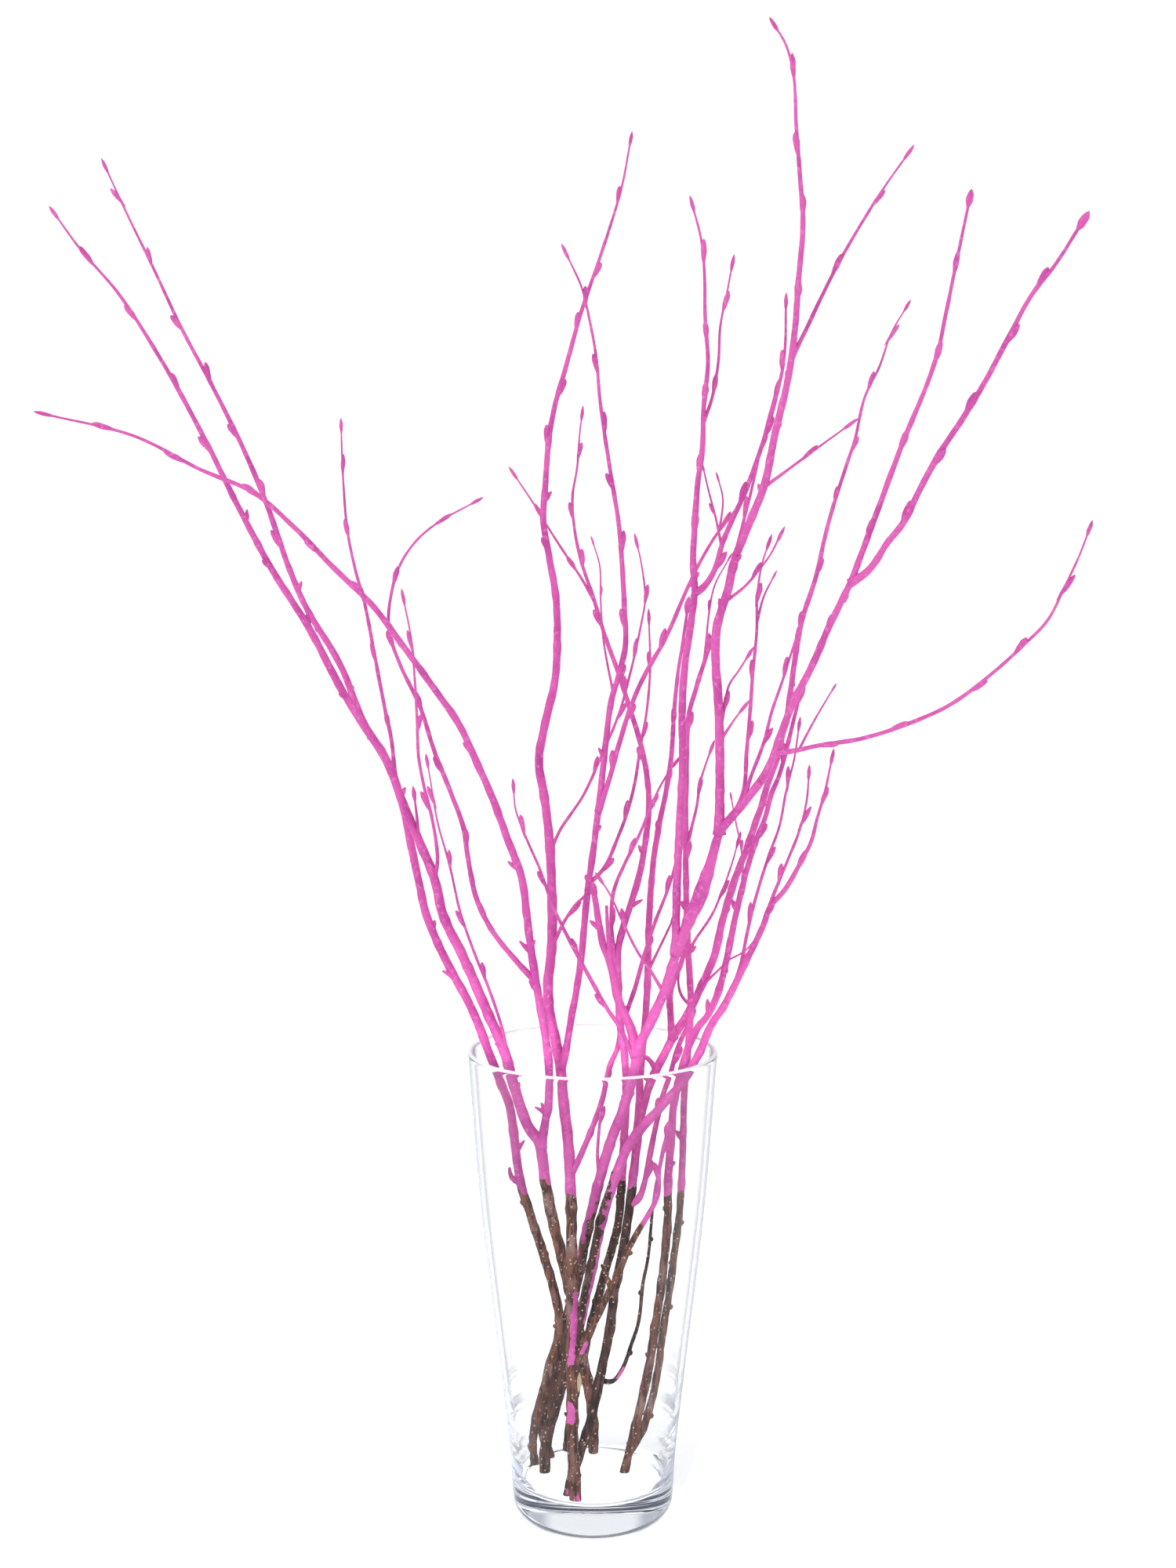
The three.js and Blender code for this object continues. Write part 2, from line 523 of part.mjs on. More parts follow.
        [61, 407, -16],
      ],
    },
    slim_shoot: {
      on: 'second_stem', radii: [0.7, 0.35],
      route: [
        [49.6, 301, 0.9], [53.5, 308, -0.8], [61.7, 320.5, -4.5], [67.8, 335, -8], [72.5, 349, -10],
        [75.2, 359, -11],
      ],
    },
    upper_shoot: {
      on: 'second_stem', radii: [0.55, 0.35],
      route: [
        [57, 451, -17.3], [58.4, 466, -14.5], [60, 480.5, -12.8], [62.5, 491.5, -12], [69.5, 504.5, -11],
      ],
    },
  },
};

const glass = new THREE.MeshStandardMaterial({
  color: 0xe4edf0, roughness: 0.04, metalness: 0, transparent: true, opacity: 0.3,
});
const paint = new THREE.MeshStandardMaterial({ color: 0xdf4fae, roughness: 0.42, metalness: 0 });
const bark = new THREE.MeshStandardMaterial({ color: 0x6b5249, roughness: 0.85, metalness: 0 });

// A repeatable stream of draws between 0 and 1.
function seededDraws(seed) {
  const factor = 1664525;
  const step = 1013904223;
  const range = 2 ** 32;
  let state = seed;
  return () => {
    state = (state * factor + step) % range;
    return state / range;
  };
}

function toSolid(geometry) {
  geometry.deleteAttribute('normal');
  geometry.deleteAttribute('uv');
  const merged = mergeVertices(geometry, MERGE_DISTANCE);
  const vertProperties = new Float32Array(merged.attributes.position.array);
  const triVerts = new Uint32Array(merged.index.array);
  return new wasm.Manifold(new wasm.Mesh({ numProp: 3, vertProperties, triVerts }));
}

function toMesh(name, solid, material) {
  const { numProp, vertProperties, triVerts } = solid.getMesh();
  const geometry = new THREE.BufferGeometry();
  geometry.setAttribute('position', new THREE.BufferAttribute(vertProperties, numProp));
  geometry.setIndex(new THREE.BufferAttribute(triVerts, 1));
  geometry.computeVertexNormals();
  const mesh = new THREE.Mesh(geometry, material);
  mesh.name = name;
  return mesh;
}

function place([x, z, depth]) {
  return new THREE.Vector3(x, 0, z).sub(EYE).multiplyScalar(1 - depth / EYE.y).add(EYE);
}

// The point of a parent limb's curve nearest to where a shoot is seen to leave it.
function nearestOn(curve, point) {
  const candidates = curve.getSpacedPoints(Math.ceil(curve.getLength()));
  candidates.sort((a, b) => a.distanceToSquared(point) - b.distanceToSquared(point));
  return candidates[0];
}

function traceLimb(description, parent) {
  const points = description.route.map(place);
  if (parent) {
    points[0] = nearestOn(parent.curve, points[0]);
  }
  const curve = new THREE.CatmullRomCurve3(points, false, 'centripetal');
  const [startRadius, endRadius] = description.radii;
  return { ...description, curve, length: curve.getLength(), startRadius, endRadius };
}

function radiusAt(limb, along) {
  return THREE.MathUtils.lerp(limb.startRadius, limb.endRadius, along ** TAPER_POWER);
}

// A limb's centre at a fraction of its length, its direction, and two directions square to it.
function frameAt(limb, along) {
  const centre = limb.curve.getPointAt(along);
  const forward = limb.curve.getTangentAt(along);
  const side = new THREE.Vector3(0, 1, 0).cross(forward).normalize();
  const out = new THREE.Vector3().crossVectors(side, forward);
  return { centre, forward, side, out };
}

// A tapered tube along a stretch of a limb: a closed cylinder bent along the limb's curve.
function stretchSolid(limb, from, to) {
  const sides = limb.startRadius > STOUT_RADIUS ? STOUT_SIDES : THIN_SIDES;
  const rings = Math.max(2, Math.round((limb.length * (to - from)) / RING_STEP));
  const geometry = new THREE.CylinderGeometry(1, 1, 1, sides, rings);
  const position = geometry.attributes.position;
  const local = new THREE.Vector3();
  for (let i = 0; i < position.count; i += 1) {
    local.fromBufferAttribute(position, i);
    const along = THREE.MathUtils.clamp(THREE.MathUtils.lerp(from, to, local.y + 0.5), 0, 1);
    const { centre, side, out } = frameAt(limb, along);
    const radius = radiusAt(limb, along);
    centre.addScaledVector(side, local.x * radius).addScaledVector(out, local.z * radius);
    position.setXYZ(i, centre.x, centre.y, centre.z);
  }
  return toSolid(geometry);
}

// A spindle-shaped bud from a root point, pointing along a direction.
function budSolid(root, direction, scale) {
  const profile = [[0, 0], [1, 0.4], [0, 1]].map(
    ([radius, height]) => new THREE.Vector2(radius * BUD_RADIUS * scale, height * BUD_LENGTH * scale),
  );
  const geometry = new THREE.LatheGeometry(profile, BUD_SIDES);
  const turn = new THREE.Quaternion().setFromUnitVectors(new THREE.Vector3(0, 1, 0), direction);
  geometry.applyQuaternion(turn);
  geometry.translate(root.x, root.y, root.z);
  return toSolid(geometry);
}

// A bud on the tip, and buds by turns to either side down to where the limb grows stout.
function budsAlong(limb, from, draw) {
  const tip = frameAt(limb, 1);
  const tipRoot = tip.centre.clone().addScaledVector(tip.forward, -TIP_BUD_SINK * BUD_LENGTH);
  const budScale = () => 1 + BUD_SIZE_SPREAD * (draw() - 0.5);
  const buds = [budSolid(tipRoot, tip.forward, budScale())];
  let turn = draw() * Math.PI;
  let distance = limb.length - BUD_SPACING + BUD_SPACING_SPREAD * draw();
  while (distance > from * limb.length + BUD_LENGTH) {
    const along = distance / limb.length;
    if (radiusAt(limb, along) > BUD_LIMB_RADIUS) {
      break;
    }
    const { centre, forward, side, out } = frameAt(limb, along);
    const outward = side.multiplyScalar(Math.cos(turn)).addScaledVector(out, Math.sin(turn));
    const direction = forward.clone().addScaledVector(outward, BUD_LEAN).normalize();
    const root = centre.addScaledVector(direction, -SIDE_BUD_SINK * BUD_LENGTH);
    buds.push(budSolid(root, direction, budScale()));
    turn += Math.PI + BUD_TURN_SPREAD * (draw() - 0.5);
    distance -= BUD_SPACING + BUD_SPACING_SPREAD * (draw() - 0.5);
  }
  return buds;
}

// The fraction of a limb's length where it first reaches a height.
function fractionAtHeight(limb, height) {
  const steps = Math.ceil(limb.length / HEIGHT_STEP);
  let step = 0;
  while (step < steps && limb.curve.getPointAt(step / steps).z < height) {
    step += 1;
  }
  return step / steps;
}

function joinAll(solids) {
  return solids.reduce((joined, solid) => joined.add(solid));
}

// One twig: its bare foot as one piece, and a painted piece for each limb that leaves the bare foot.
function buildTwig(twigName, descriptions, draw) {
  const limbs = {};
  const bareSolids = [];
  const paintedSolids = {};
  for (const [limbName, description] of Object.entries(descriptions)) {
    const limb = traceLimb(description, limbs[description.on]);
    limbs[limbName] = limb;
    let paintedFrom = 0;
    limb.paintedPiece = description.on && limbs[description.on].paintedPiece;
    if (description.bare) {
      const edge = fractionAtHeight(limb, description.bare);
      const halfGap = GAP / 2 / limb.length;
      bareSolids.push(stretchSolid(limb, 0, edge - halfGap));
      paintedFrom = edge + halfGap;
      limb.paintedPiece = limbName === 'stem' ? `${twigName}_painted` : `${twigName}_${limbName}_painted`;
      paintedSolids[limb.paintedPiece] = [];
    }
    const painted = paintedSolids[limb.paintedPiece];
    painted.push(stretchSolid(limb, paintedFrom, 1));
    if (!description.blunt) {
      painted.push(...budsAlong(limb, paintedFrom, draw));
    }
  }
  const foot = joinAll(bareSolids).trimByPlane([0, 0, 1], FLOOR_HEIGHT + GAP);
  const meshes = [toMesh(`${twigName}_bark`, foot, bark)];
  for (const [name, solids] of Object.entries(paintedSolids)) {
    meshes.push(toMesh(name, joinAll(solids), paint));
  }
  return meshes;
}

function buildVase() {
  const outside = new THREE.SplineCurve([
    new THREE.Vector2(BASE_RADIUS, BASE_CORNER),
    new THREE.Vector2(FOOT_RADIUS, FOOT_HEIGHT),
    new THREE.Vector2(WAIST_RADIUS, WAIST_HEIGHT),
    new THREE.Vector2(SHOULDER_RADIUS, SHOULDER_HEIGHT),
    new THREE.Vector2(RIM_RADIUS, VASE_HEIGHT - RIM_BEVEL),
  ]).getSpacedPoints(WALL_RINGS);
  const corner = new THREE.Path();
  corner.absarc(BASE_RADIUS - BASE_CORNER, BASE_CORNER, BASE_CORNER, -Math.PI / 2, 0);
  const inside = outside.map((point) => new THREE.Vector2(point.x - WALL, point.y)).reverse();
  const wallFoot = FLOOR_HEIGHT + FLOOR_CORNER;
  const profile = [
    new THREE.Vector2(0, 0),
    ...corner.getPoints(CORNER_RINGS),
    ...outside.slice(1),
    new THREE.Vector2(RIM_RADIUS - RIM_BEVEL, VASE_HEIGHT),
    new THREE.Vector2(RIM_RADIUS - WALL + RIM_BEVEL, VASE_HEIGHT),
    ...inside.filter((point) => point.y > wallFoot + FLOOR_CORNER),
    new THREE.Vector2(BASE_RADIUS - WALL, wallFoot),
    new THREE.Vector2(BASE_RADIUS - WALL - FLOOR_CORNER, FLOOR_HEIGHT),
    new THREE.Vector2(0, FLOOR_HEIGHT),
  ];
  const geometry = new THREE.LatheGeometry(profile, VASE_SIDES);
  geometry.rotateX(Math.PI / 2);
  return toMesh('vase', toSolid(geometry), glass);
}

const group = new THREE.Group();
group.add(buildVase());
const draw = seededDraws(BUD_SEED);
for (const [twigName, descriptions] of Object.entries(TWIGS)) {
  group.add(...buildTwig(twigName, descriptions, draw));
}

export default group;
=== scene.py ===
import math

import bpy
import numpy as np
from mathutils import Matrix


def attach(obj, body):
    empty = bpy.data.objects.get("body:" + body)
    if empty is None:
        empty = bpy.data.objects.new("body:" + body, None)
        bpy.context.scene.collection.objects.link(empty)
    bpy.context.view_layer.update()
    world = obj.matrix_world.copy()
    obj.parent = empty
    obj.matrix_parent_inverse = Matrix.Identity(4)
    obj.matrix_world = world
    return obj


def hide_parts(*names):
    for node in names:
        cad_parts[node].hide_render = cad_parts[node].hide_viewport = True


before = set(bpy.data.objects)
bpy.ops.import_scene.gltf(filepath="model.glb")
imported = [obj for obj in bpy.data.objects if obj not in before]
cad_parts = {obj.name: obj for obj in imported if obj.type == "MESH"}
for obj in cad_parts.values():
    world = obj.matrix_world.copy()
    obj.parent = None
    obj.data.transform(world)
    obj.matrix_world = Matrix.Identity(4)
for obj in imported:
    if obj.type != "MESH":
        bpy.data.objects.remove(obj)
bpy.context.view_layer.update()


# Camera
# The photograph's viewpoint: level with the middle of the bundle, a metre in front of the vase,
# tilted a little down. The twigs' routes below are given as seen from here.
MM = 0.001
EYE = np.array([-2.5, -1000.0, 475.0]) * MM
LOOK_DOWN_SLOPE = 0.086
FOCAL_PIXELS = 2479
PHOTO_HEIGHT_PIXELS = 2000
SENSOR = 36.0

camera_data = bpy.data.cameras.new("camera")
camera_data.sensor_width = SENSOR
camera_data.lens = SENSOR * FOCAL_PIXELS / PHOTO_HEIGHT_PIXELS
camera_data.clip_start = 0.05
camera_data.clip_end = 50
camera = bpy.data.objects.new("camera", camera_data)
camera.location = EYE
camera.rotation_euler = (math.pi / 2 - math.atan(LOOK_DOWN_SLOPE), 0, 0)
bpy.context.scene.collection.objects.link(camera)
bpy.context.scene.camera = camera


# Studio
# A white sweep: a pale floor that glows, most under the vase, so that the camera sees no edge or hard
# shadow, a surround that is white behind and overhead and greyer elsewhere, for the glass's edges, and
# three lamps.
bpy.context.scene.view_settings.view_transform = "Standard"
FLOOR_HALF = 6.0
FLOOR_LEVEL = -0.5 * MM
FLOOR_COLOUR = (0.72, 0.72, 0.725, 1)
FLOOR_PALE = (0.75, 0.75, 0.755, 1)
FLOOR_GLOW = (0.36, 0.36, 0.36, 1)
VASE_GLOW = (1.0, 1.0, 1.0, 1)
GLOW_REACH = (0.034, 0.060)
SURROUND_BACK = (1.0, 1.0, 1.0, 1)
SURROUND_SIDE = (0.52, 0.54, 0.60, 1)
SURROUND_FRONT = (0.58, 0.59, 0.61, 1)
SURROUND_STRENGTH = 1.04
GLASS_BOUNCES = 20


class Shade:
    """A shader socket that takes part in Python arithmetic, adding a Math node for each operator."""

    def __init__(self, tree, socket):
        self.tree = tree
        self.socket = socket

    def node(self, kind, settings=None, output=0, **inputs):
        """Adds a node of a kind, sets its settings first, then its sockets, and returns one output.

        A socket goes by its name, with _ for a space, or by _ and its number.
        """
        added = self.tree.nodes.new(kind)
        for key, value in (settings or {}).items():
            setattr(added, key, value)
        for key, value in inputs.items():
            target = added.inputs[int(key[1:]) if key[1:].isdigit() else key.replace("_", " ")]
            if isinstance(value, Shade):
                self.tree.links.new(value.socket, target)
            else:
                target.default_value = value
        return Shade(self.tree, added.outputs[output])

    def math(self, operation, first, second=0.0):
        return self.node("ShaderNodeMath", {"operation": operation}, _0=first, _1=second)

    def __add__(self, other):
        return self.math("ADD", self, other)

    __radd__ = __add__

    def __sub__(self, other):
        return self.math("SUBTRACT", self, other)

    def __rsub__(self, other):
        return self.math("SUBTRACT", other, self)

    def __mul__(self, other):
        return self.math("MULTIPLY", self, other)

    __rmul__ = __mul__

    def between(self, low, high):
        """0 below low, 1 above high, and a smooth step from one to the other."""
        return self.node("ShaderNodeMapRange", {"interpolation_type": "SMOOTHSTEP"},
                         Value=self, From_Min=low, From_Max=high)

    def mix(self, first, second):
        """The first colour where this value is 0, the second where it is 1."""
        return self.node("ShaderNodeMix", {"data_type": "RGBA"}, output=2, _0=self, _6=first, _7=second)

    def axis(self, number):
        """One axis of this place: X, Y or Z as 0, 1 or 2."""
        return self.node("ShaderNodeSeparateXYZ", Vector=self, output=number)

    def drawn_out(self, squeeze):
        """This place with its heights squeezed, so that a pattern over it is drawn out upwards."""
        return self.node("ShaderNodeMapping", Vector=self, Scale=(1, 1, squeeze))

    def noise(self, scale, detail=2.0):
        """Cloudy noise over this place."""
        return self.node("ShaderNodeTexNoise", Vector=self, Scale=scale, Detail=detail)

    def attribute(self, name):
        """A number that the mesh holds at each of its vertices."""
        return self.node("ShaderNodeAttribute", {"attribute_name": name}, output=2)

    def feed(self, shader, socket):
        """Links this value to a shader's socket."""
        self.tree.links.new(self.socket, shader.inputs[socket])


def new_material(name):
    """A material with its Principled shader, and a Shade to start its expressions from."""
    material = bpy.data.materials.new(name)
    material.use_nodes = True
    tree = material.node_tree
    shader = tree.nodes["Principled BSDF"]
    place = Shade(tree, tree.nodes.new("ShaderNodeTexCoord").outputs["Object"])
    return material, tree, shader, place


def mesh_piece(name, vertices, faces, material):
    """A smooth mesh object at the origin, its place in its vertices."""
    mesh = bpy.data.meshes.new(name)
    mesh.from_pydata(vertices, [], faces)
    mesh.polygons.foreach_set("use_smooth", np.ones(len(mesh.polygons), dtype=bool))
    mesh.materials.append(material)
    piece = bpy.data.objects.new(name, mesh)
    bpy.context.scene.collection.objects.link(piece)
    return piece


floor_material, tree, shader, place = new_material("floor_white")
shader.inputs["Roughness"].default_value = 0.6
shader.inputs["Emission Strength"].default_value = 1.0
reach = place.node("ShaderNodeVectorMath", {"operation": "LENGTH"}, _0=place, output=1)
reach.between(*GLOW_REACH).mix(VASE_GLOW, FLOOR_GLOW).feed(shader, "Emission Color")
place.noise(3.0).mix(FLOOR_COLOUR, FLOOR_PALE).feed(shader, "Base Color")
floor_corners = np.array([[-1, -1, 0], [1, -1, 0], [1, 1, 0], [-1, 1, 0]]) * FLOOR_HALF
floor_corners[:, 2] = FLOOR_LEVEL
floor = mesh_piece("floor", floor_corners, [(0, 1, 2, 3)], floor_material)

world = bpy.data.worlds.new("surround")
bpy.context.scene.world = world
world.use_nodes = True
air = world.node_tree
backdrop = air.nodes["Background"]
direction = Shade(air, air.nodes.new("ShaderNodeTexCoord").outputs["Generated"])
aside, depth, rise = (direction.axis(number) for number in range(3))
sides = (aside * aside).between(0.09, 0.22).mix(SURROUND_BACK, SURROUND_SIDE)
around = depth.between(-0.7, 0.1).mix(SURROUND_FRONT, sides)
rise.between(0.45, 0.9).mix(around, SURROUND_BACK).feed(backdrop, "Color")
backdrop.inputs["Strength"].default_value = SURROUND_STRENGTH
light_paths = bpy.context.scene.cycles
light_paths.max_bounces = GLASS_BOUNCES
light_paths.glossy_bounces = GLASS_BOUNCES
light_paths.transmission_bounces = GLASS_BOUNCES


def soft_lamp(name, place_m, aim_m, size, watts, spread=180):
    """A square lamp at a place, turned to face a point, with its light kept within a spread in degrees."""
    lamp_data = bpy.data.lights.new(name, "AREA")
    lamp_data.size = size
    lamp_data.energy = watts
    lamp_data.spread = math.radians(spread)
    lamp = bpy.data.objects.new(name, lamp_data)
    lamp.location = place_m
    away = np.array(place_m) - np.array(aim_m)
    flat = math.hypot(away[0], away[1])
    lamp.rotation_euler = (math.atan2(flat, away[2]), 0, math.atan2(away[0], -away[1]))
    bpy.context.scene.collection.objects.link(lamp)


soft_lamp("key_lamp", (-1.3, -1.2, 1.5), (0, 0, 0.4), size=1.0, watts=11)
soft_lamp("side_lamp", (1.5, -0.5, 0.9), (0, 0, 0.4), size=0.8, watts=3)
soft_lamp("vase_lamp", (-0.3, -1.1, 0.30), (0, 0, 0.08), size=0.25, watts=0.5, spread=14)


# Vase
# A plain drinking-glass form in clear glass, pressed with a thick base and a rounded foot, with an even
# wall up to a finely ground rim, whose white band is also a painted highlight. The pressing left slanting
# waves inside its lower wall.
VASE_HEIGHT = 250.0
RIM_RADIUS = 65.0
SHOULDER = (58.6, 166.0)
WAIST = (49.4, 85.0)
BASE_RADIUS = 42.6
BASE_CORNER = 11.0
WALL_FOOT = (BASE_RADIUS + 1.2, BASE_CORNER * 3)
WALL = 2.6
FLOOR_HEIGHT = 20.0
FLOOR_CORNER = 5.5
FLOOR_SLACK = 0.3
CAP_RADIUS = 4.0
VASE_COLUMNS = 160
WALL_STEP = 1.6
WAVE_HEIGHT = 0.30
WAVE_TOP = 78.0
WAVE_FADE = 40.0
GROUND_AND_HIGHLIGHT_RIM = 1.3
GLASS_COLOUR = (0.985, 0.995, 1.0, 1)
GLASS_IOR = 1.45
GLASS_SHEEN = (0.25, 0.26, 0.28, 1)
GLASS_TINT = (0.36, 0.42, 0.55, 1)
TINT_DENSITY = 3.5
# Painted highlight: the frost colour whitens the ground rim, and its white is also a painted highlight on
# the rim.
FROST_AND_HIGHLIGHT_COLOUR = (0.93, 0.94, 0.95, 1)
# Painted reflection: the edge colour is painted where the glass turns edge-on, and in streaks low on the
# wall.
EDGE_REFLECTION_COLOUR = (0.34, 0.37, 0.46, 1)


def smooth_path(points, step):
    """The centripetal Catmull-Rom curve through the points, at even steps along its length.

    Knots are spaced by the square root of each chord, the end chords are repeated past both ends, and
    each span is the usual pyramid of linear blends. Returns the places and their run from the start.
    """
    points = np.asarray(points, dtype=float)
    padded = np.vstack([2 * points[0] - points[1], points, 2 * points[-1] - points[-2]])
    chords = np.linalg.norm(np.diff(padded, axis=0), axis=1) ** 0.5
    knots = np.concatenate([[0.0], np.cumsum(chords)])
    spans = len(points) - 1
    t0, t1, t2, t3 = (knots[i:i + spans, None, None] for i in range(4))
    p0, p1, p2, p3 = (padded[i:i + spans, None, :] for i in range(4))
    t = t1 + (t2 - t1) * np.linspace(0, 1, 24, endpoint=False)[None, :, None]
    a1 = ((t1 - t) * p0 + (t - t0) * p1) / (t1 - t0)
    a2 = ((t2 - t) * p1 + (t - t1) * p2) / (t2 - t1)
    a3 = ((t3 - t) * p2 + (t - t2) * p3) / (t3 - t2)
    b1 = ((t2 - t) * a1 + (t - t0) * a2) / (t2 - t0)
    b2 = ((t3 - t) * a2 + (t - t1) * a3) / (t3 - t1)
    curve = ((t2 - t) * b1 + (t - t1) * b2) / (t2 - t1)
    dense = np.vstack([curve.reshape(-1, points.shape[1]), points[-1]])
    run = np.concatenate([[0.0], np.cumsum(np.linalg.norm(np.diff(dense, axis=0), axis=1))])
    even = np.linspace(0, run[-1], max(3, int(run[-1] / step) + 1))
    return np.column_stack([np.interp(even, run, axis) for axis in dense.T]), even


def tube_faces(rows, columns, first):
    """Quads between neighbouring rings of vertices, and a flat cap on either end, facing out."""
    row, column = np.meshgrid(np.arange(rows - 1), np.arange(columns), indexing="ij")
    beside = (column + 1) % columns
    quads = np.stack([row * columns + column, (row + 1) * columns + column,
                      (row + 1) * columns + beside, row * columns + beside], axis=-1).reshape(-1, 4)
    start_cap = np.arange(columns) + first
    end_cap = np.arange(columns)[::-1] + first + (rows - 1) * columns
    return (quads + first).tolist() + [start_cap.tolist(), end_cap.tolist()]


def arc(centre, radius, start, end, count):
    """Points on a circle's arc from one angle to another."""
    angle = np.linspace(start, end, count)
    return np.column_stack([centre[0] + radius * np.cos(angle), centre[1] + radius * np.sin(angle)])


def vase_profile():
    """The wall's section, radius and height, from underside to floor, and its first inside row's number."""
    outside, _ = smooth_path([(BASE_RADIUS, BASE_CORNER), WALL_FOOT, WAIST, SHOULDER,
                              (RIM_RADIUS, VASE_HEIGHT - WALL / 2)], WALL_STEP)
    underside = np.column_stack([np.linspace(CAP_RADIUS, BASE_RADIUS - BASE_CORNER, 8)[:-1], np.zeros(7)])
    corner = arc((BASE_RADIUS - BASE_CORNER, BASE_CORNER), BASE_CORNER, -math.pi / 2, 0, 12)[:-1]
    rim = arc((RIM_RADIUS - WALL / 2, VASE_HEIGHT - WALL / 2), WALL / 2, 0, math.pi, 12)[1:-1]
    inside = outside[::-1] - (WALL, 0)
    inside = inside[inside[:, 1] > FLOOR_HEIGHT + FLOOR_CORNER]
    fillet_radius = BASE_RADIUS - WALL - FLOOR_CORNER + FLOOR_SLACK
    fillet = arc((fillet_radius, FLOOR_HEIGHT + FLOOR_CORNER), FLOOR_CORNER, 0, -math.pi / 2, 8)
    bed = np.column_stack([np.linspace(fillet[-1, 0], CAP_RADIUS, 8)[1:], np.full(7, FLOOR_HEIGHT)])
    first_inside = len(underside) + len(corner) + len(outside) + len(rim)
    return np.vstack([underside, corner, outside, rim, inside, fillet, bed]), first_inside


def pressing_waves(height, angle):
    """Slanting waves in the glass: three sines of height and angle, strongest at the left and right,
    where the halves of the mould met, and fading out towards WAVE_TOP."""
    waves = np.sin(height / 0.95 + 4 * angle) + 0.8 * np.sin(height / 1.5 - 3 * angle + 1.3)
    waves += 0.9 * np.sin(height / 2.6 + 7 * angle + 0.5)
    return WAVE_HEIGHT * waves * np.abs(np.cos(angle)) ** 8 * np.clip((WAVE_TOP - height) / WAVE_FADE, 0, 1)


glass_material, tree, shader, place = new_material("clear_glass")
shader.inputs["Transmission Weight"].default_value = 1.0
shader.inputs["IOR"].default_value = GLASS_IOR
shader.inputs["Specular Tint"].default_value = GLASS_SHEEN
shader.inputs["Base Color"].default_value = GLASS_COLOUR
tint = tree.nodes.new("ShaderNodeVolumeAbsorption")
tint.inputs["Color"].default_value = GLASS_TINT
tint.inputs["Density"].default_value = TINT_DENSITY
surface = tree.nodes["Material Output"]
tree.links.new(tint.outputs["Volume"], surface.inputs["Volume"])
drawn_lines = place.drawn_out(0.12).noise(70.0)
(0.012 * drawn_lines).feed(shader, "Roughness")
place.node("ShaderNodeBump", Strength=0.03, Distance=0.001, Height=drawn_lines).feed(shader, "Normal")
# Painted highlight: a white frosted shader for the ground rim, which also stands in for the rim's
# highlight.
frosting_and_highlight = tree.nodes.new("ShaderNodeBsdfPrincipled")
frosting_and_highlight.inputs["Base Color"].default_value = FROST_AND_HIGHLIGHT_COLOUR
frosting_and_highlight.inputs["Roughness"].default_value = 0.4
# Painted reflection: a blue-grey shader mixed in where the glass turns edge-on and in the low streaks.
edge_reflection_shader = tree.nodes.new("ShaderNodeBsdfPrincipled")
edge_reflection_shader.inputs["Base Color"].default_value = EDGE_REFLECTION_COLOUR
edge_reflection_shader.inputs["Roughness"].default_value = 0.3

# Painted reflection: the glass is painted grey where it turns edge-on, and in streaks low on its wall that
# stand in for the light bent by the pressing's waves.
level = place.axis(2)
across = place.axis(0)
sloping = place.node("ShaderNodeLayerWeight", Blend=0.5, output=1)
slant = level - 0.5 * across.math("ABSOLUTE", across)
streak_noise = place.node("ShaderNodeTexNoise", {"noise_dimensions": "1D"}, W=slant, Scale=130.0, Detail=2.0)
low_wall = level.between(0.021, 0.025) * (1 - level.between(0.055, 0.090))
streak_reflection_mask = streak_noise.between(0.48, 0.58) * low_wall * sloping.between(0.38, 0.75)
above_foot = level.between(0.001, 0.007)
edge = 0.85 * sloping.between(0.70, 0.92) * above_foot + 0.75 * streak_reflection_mask
# The rim's band for the frosting and its painted highlight.
ground_and_highlight_band = level.between((VASE_HEIGHT - GROUND_AND_HIGHLIGHT_RIM) * MM, (VASE_HEIGHT - 0.4 * GROUND_AND_HIGHLIGHT_RIM) * MM)


def shader_mix(factor, first, second):
    """The two shaders' light mixed by a factor."""
    mixed = tree.nodes.new("ShaderNodeMixShader")
    factor.feed(mixed, "Fac")
    tree.links.new(first.outputs[0], mixed.inputs[1])
    tree.links.new(second.outputs[0], mixed.inputs[2])
    return mixed


glass_with_edge_reflection = shader_mix(edge, shader, edge_reflection_shader)
rimmed = shader_mix(0.85 * ground_and_highlight_band, glass_with_edge_reflection, frosting_and_highlight)
tree.links.new(rimmed.outputs["Shader"], surface.inputs["Surface"])

profile, first_inside = vase_profile()
turn = -np.linspace(0, 2 * math.pi, VASE_COLUMNS, endpoint=False)
radii = np.repeat(profile[:, :1], VASE_COLUMNS, axis=1)
heights = np.repeat(profile[:, 1:], VASE_COLUMNS, axis=1)
on_wall = (np.arange(len(profile)) >= first_inside) & (profile[:, 1] > FLOOR_HEIGHT + FLOOR_CORNER)
radii[on_wall] += pressing_waves(heights[on_wall], turn)
vase_vertices = np.stack([radii * np.cos(turn), radii * np.sin(turn), heights], axis=-1).reshape(-1, 3) * MM
vase = mesh_piece("glass_vase", vase_vertices, tube_faces(len(profile), VASE_COLUMNS, 0), glass_material)
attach(vase, "root")
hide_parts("vase")


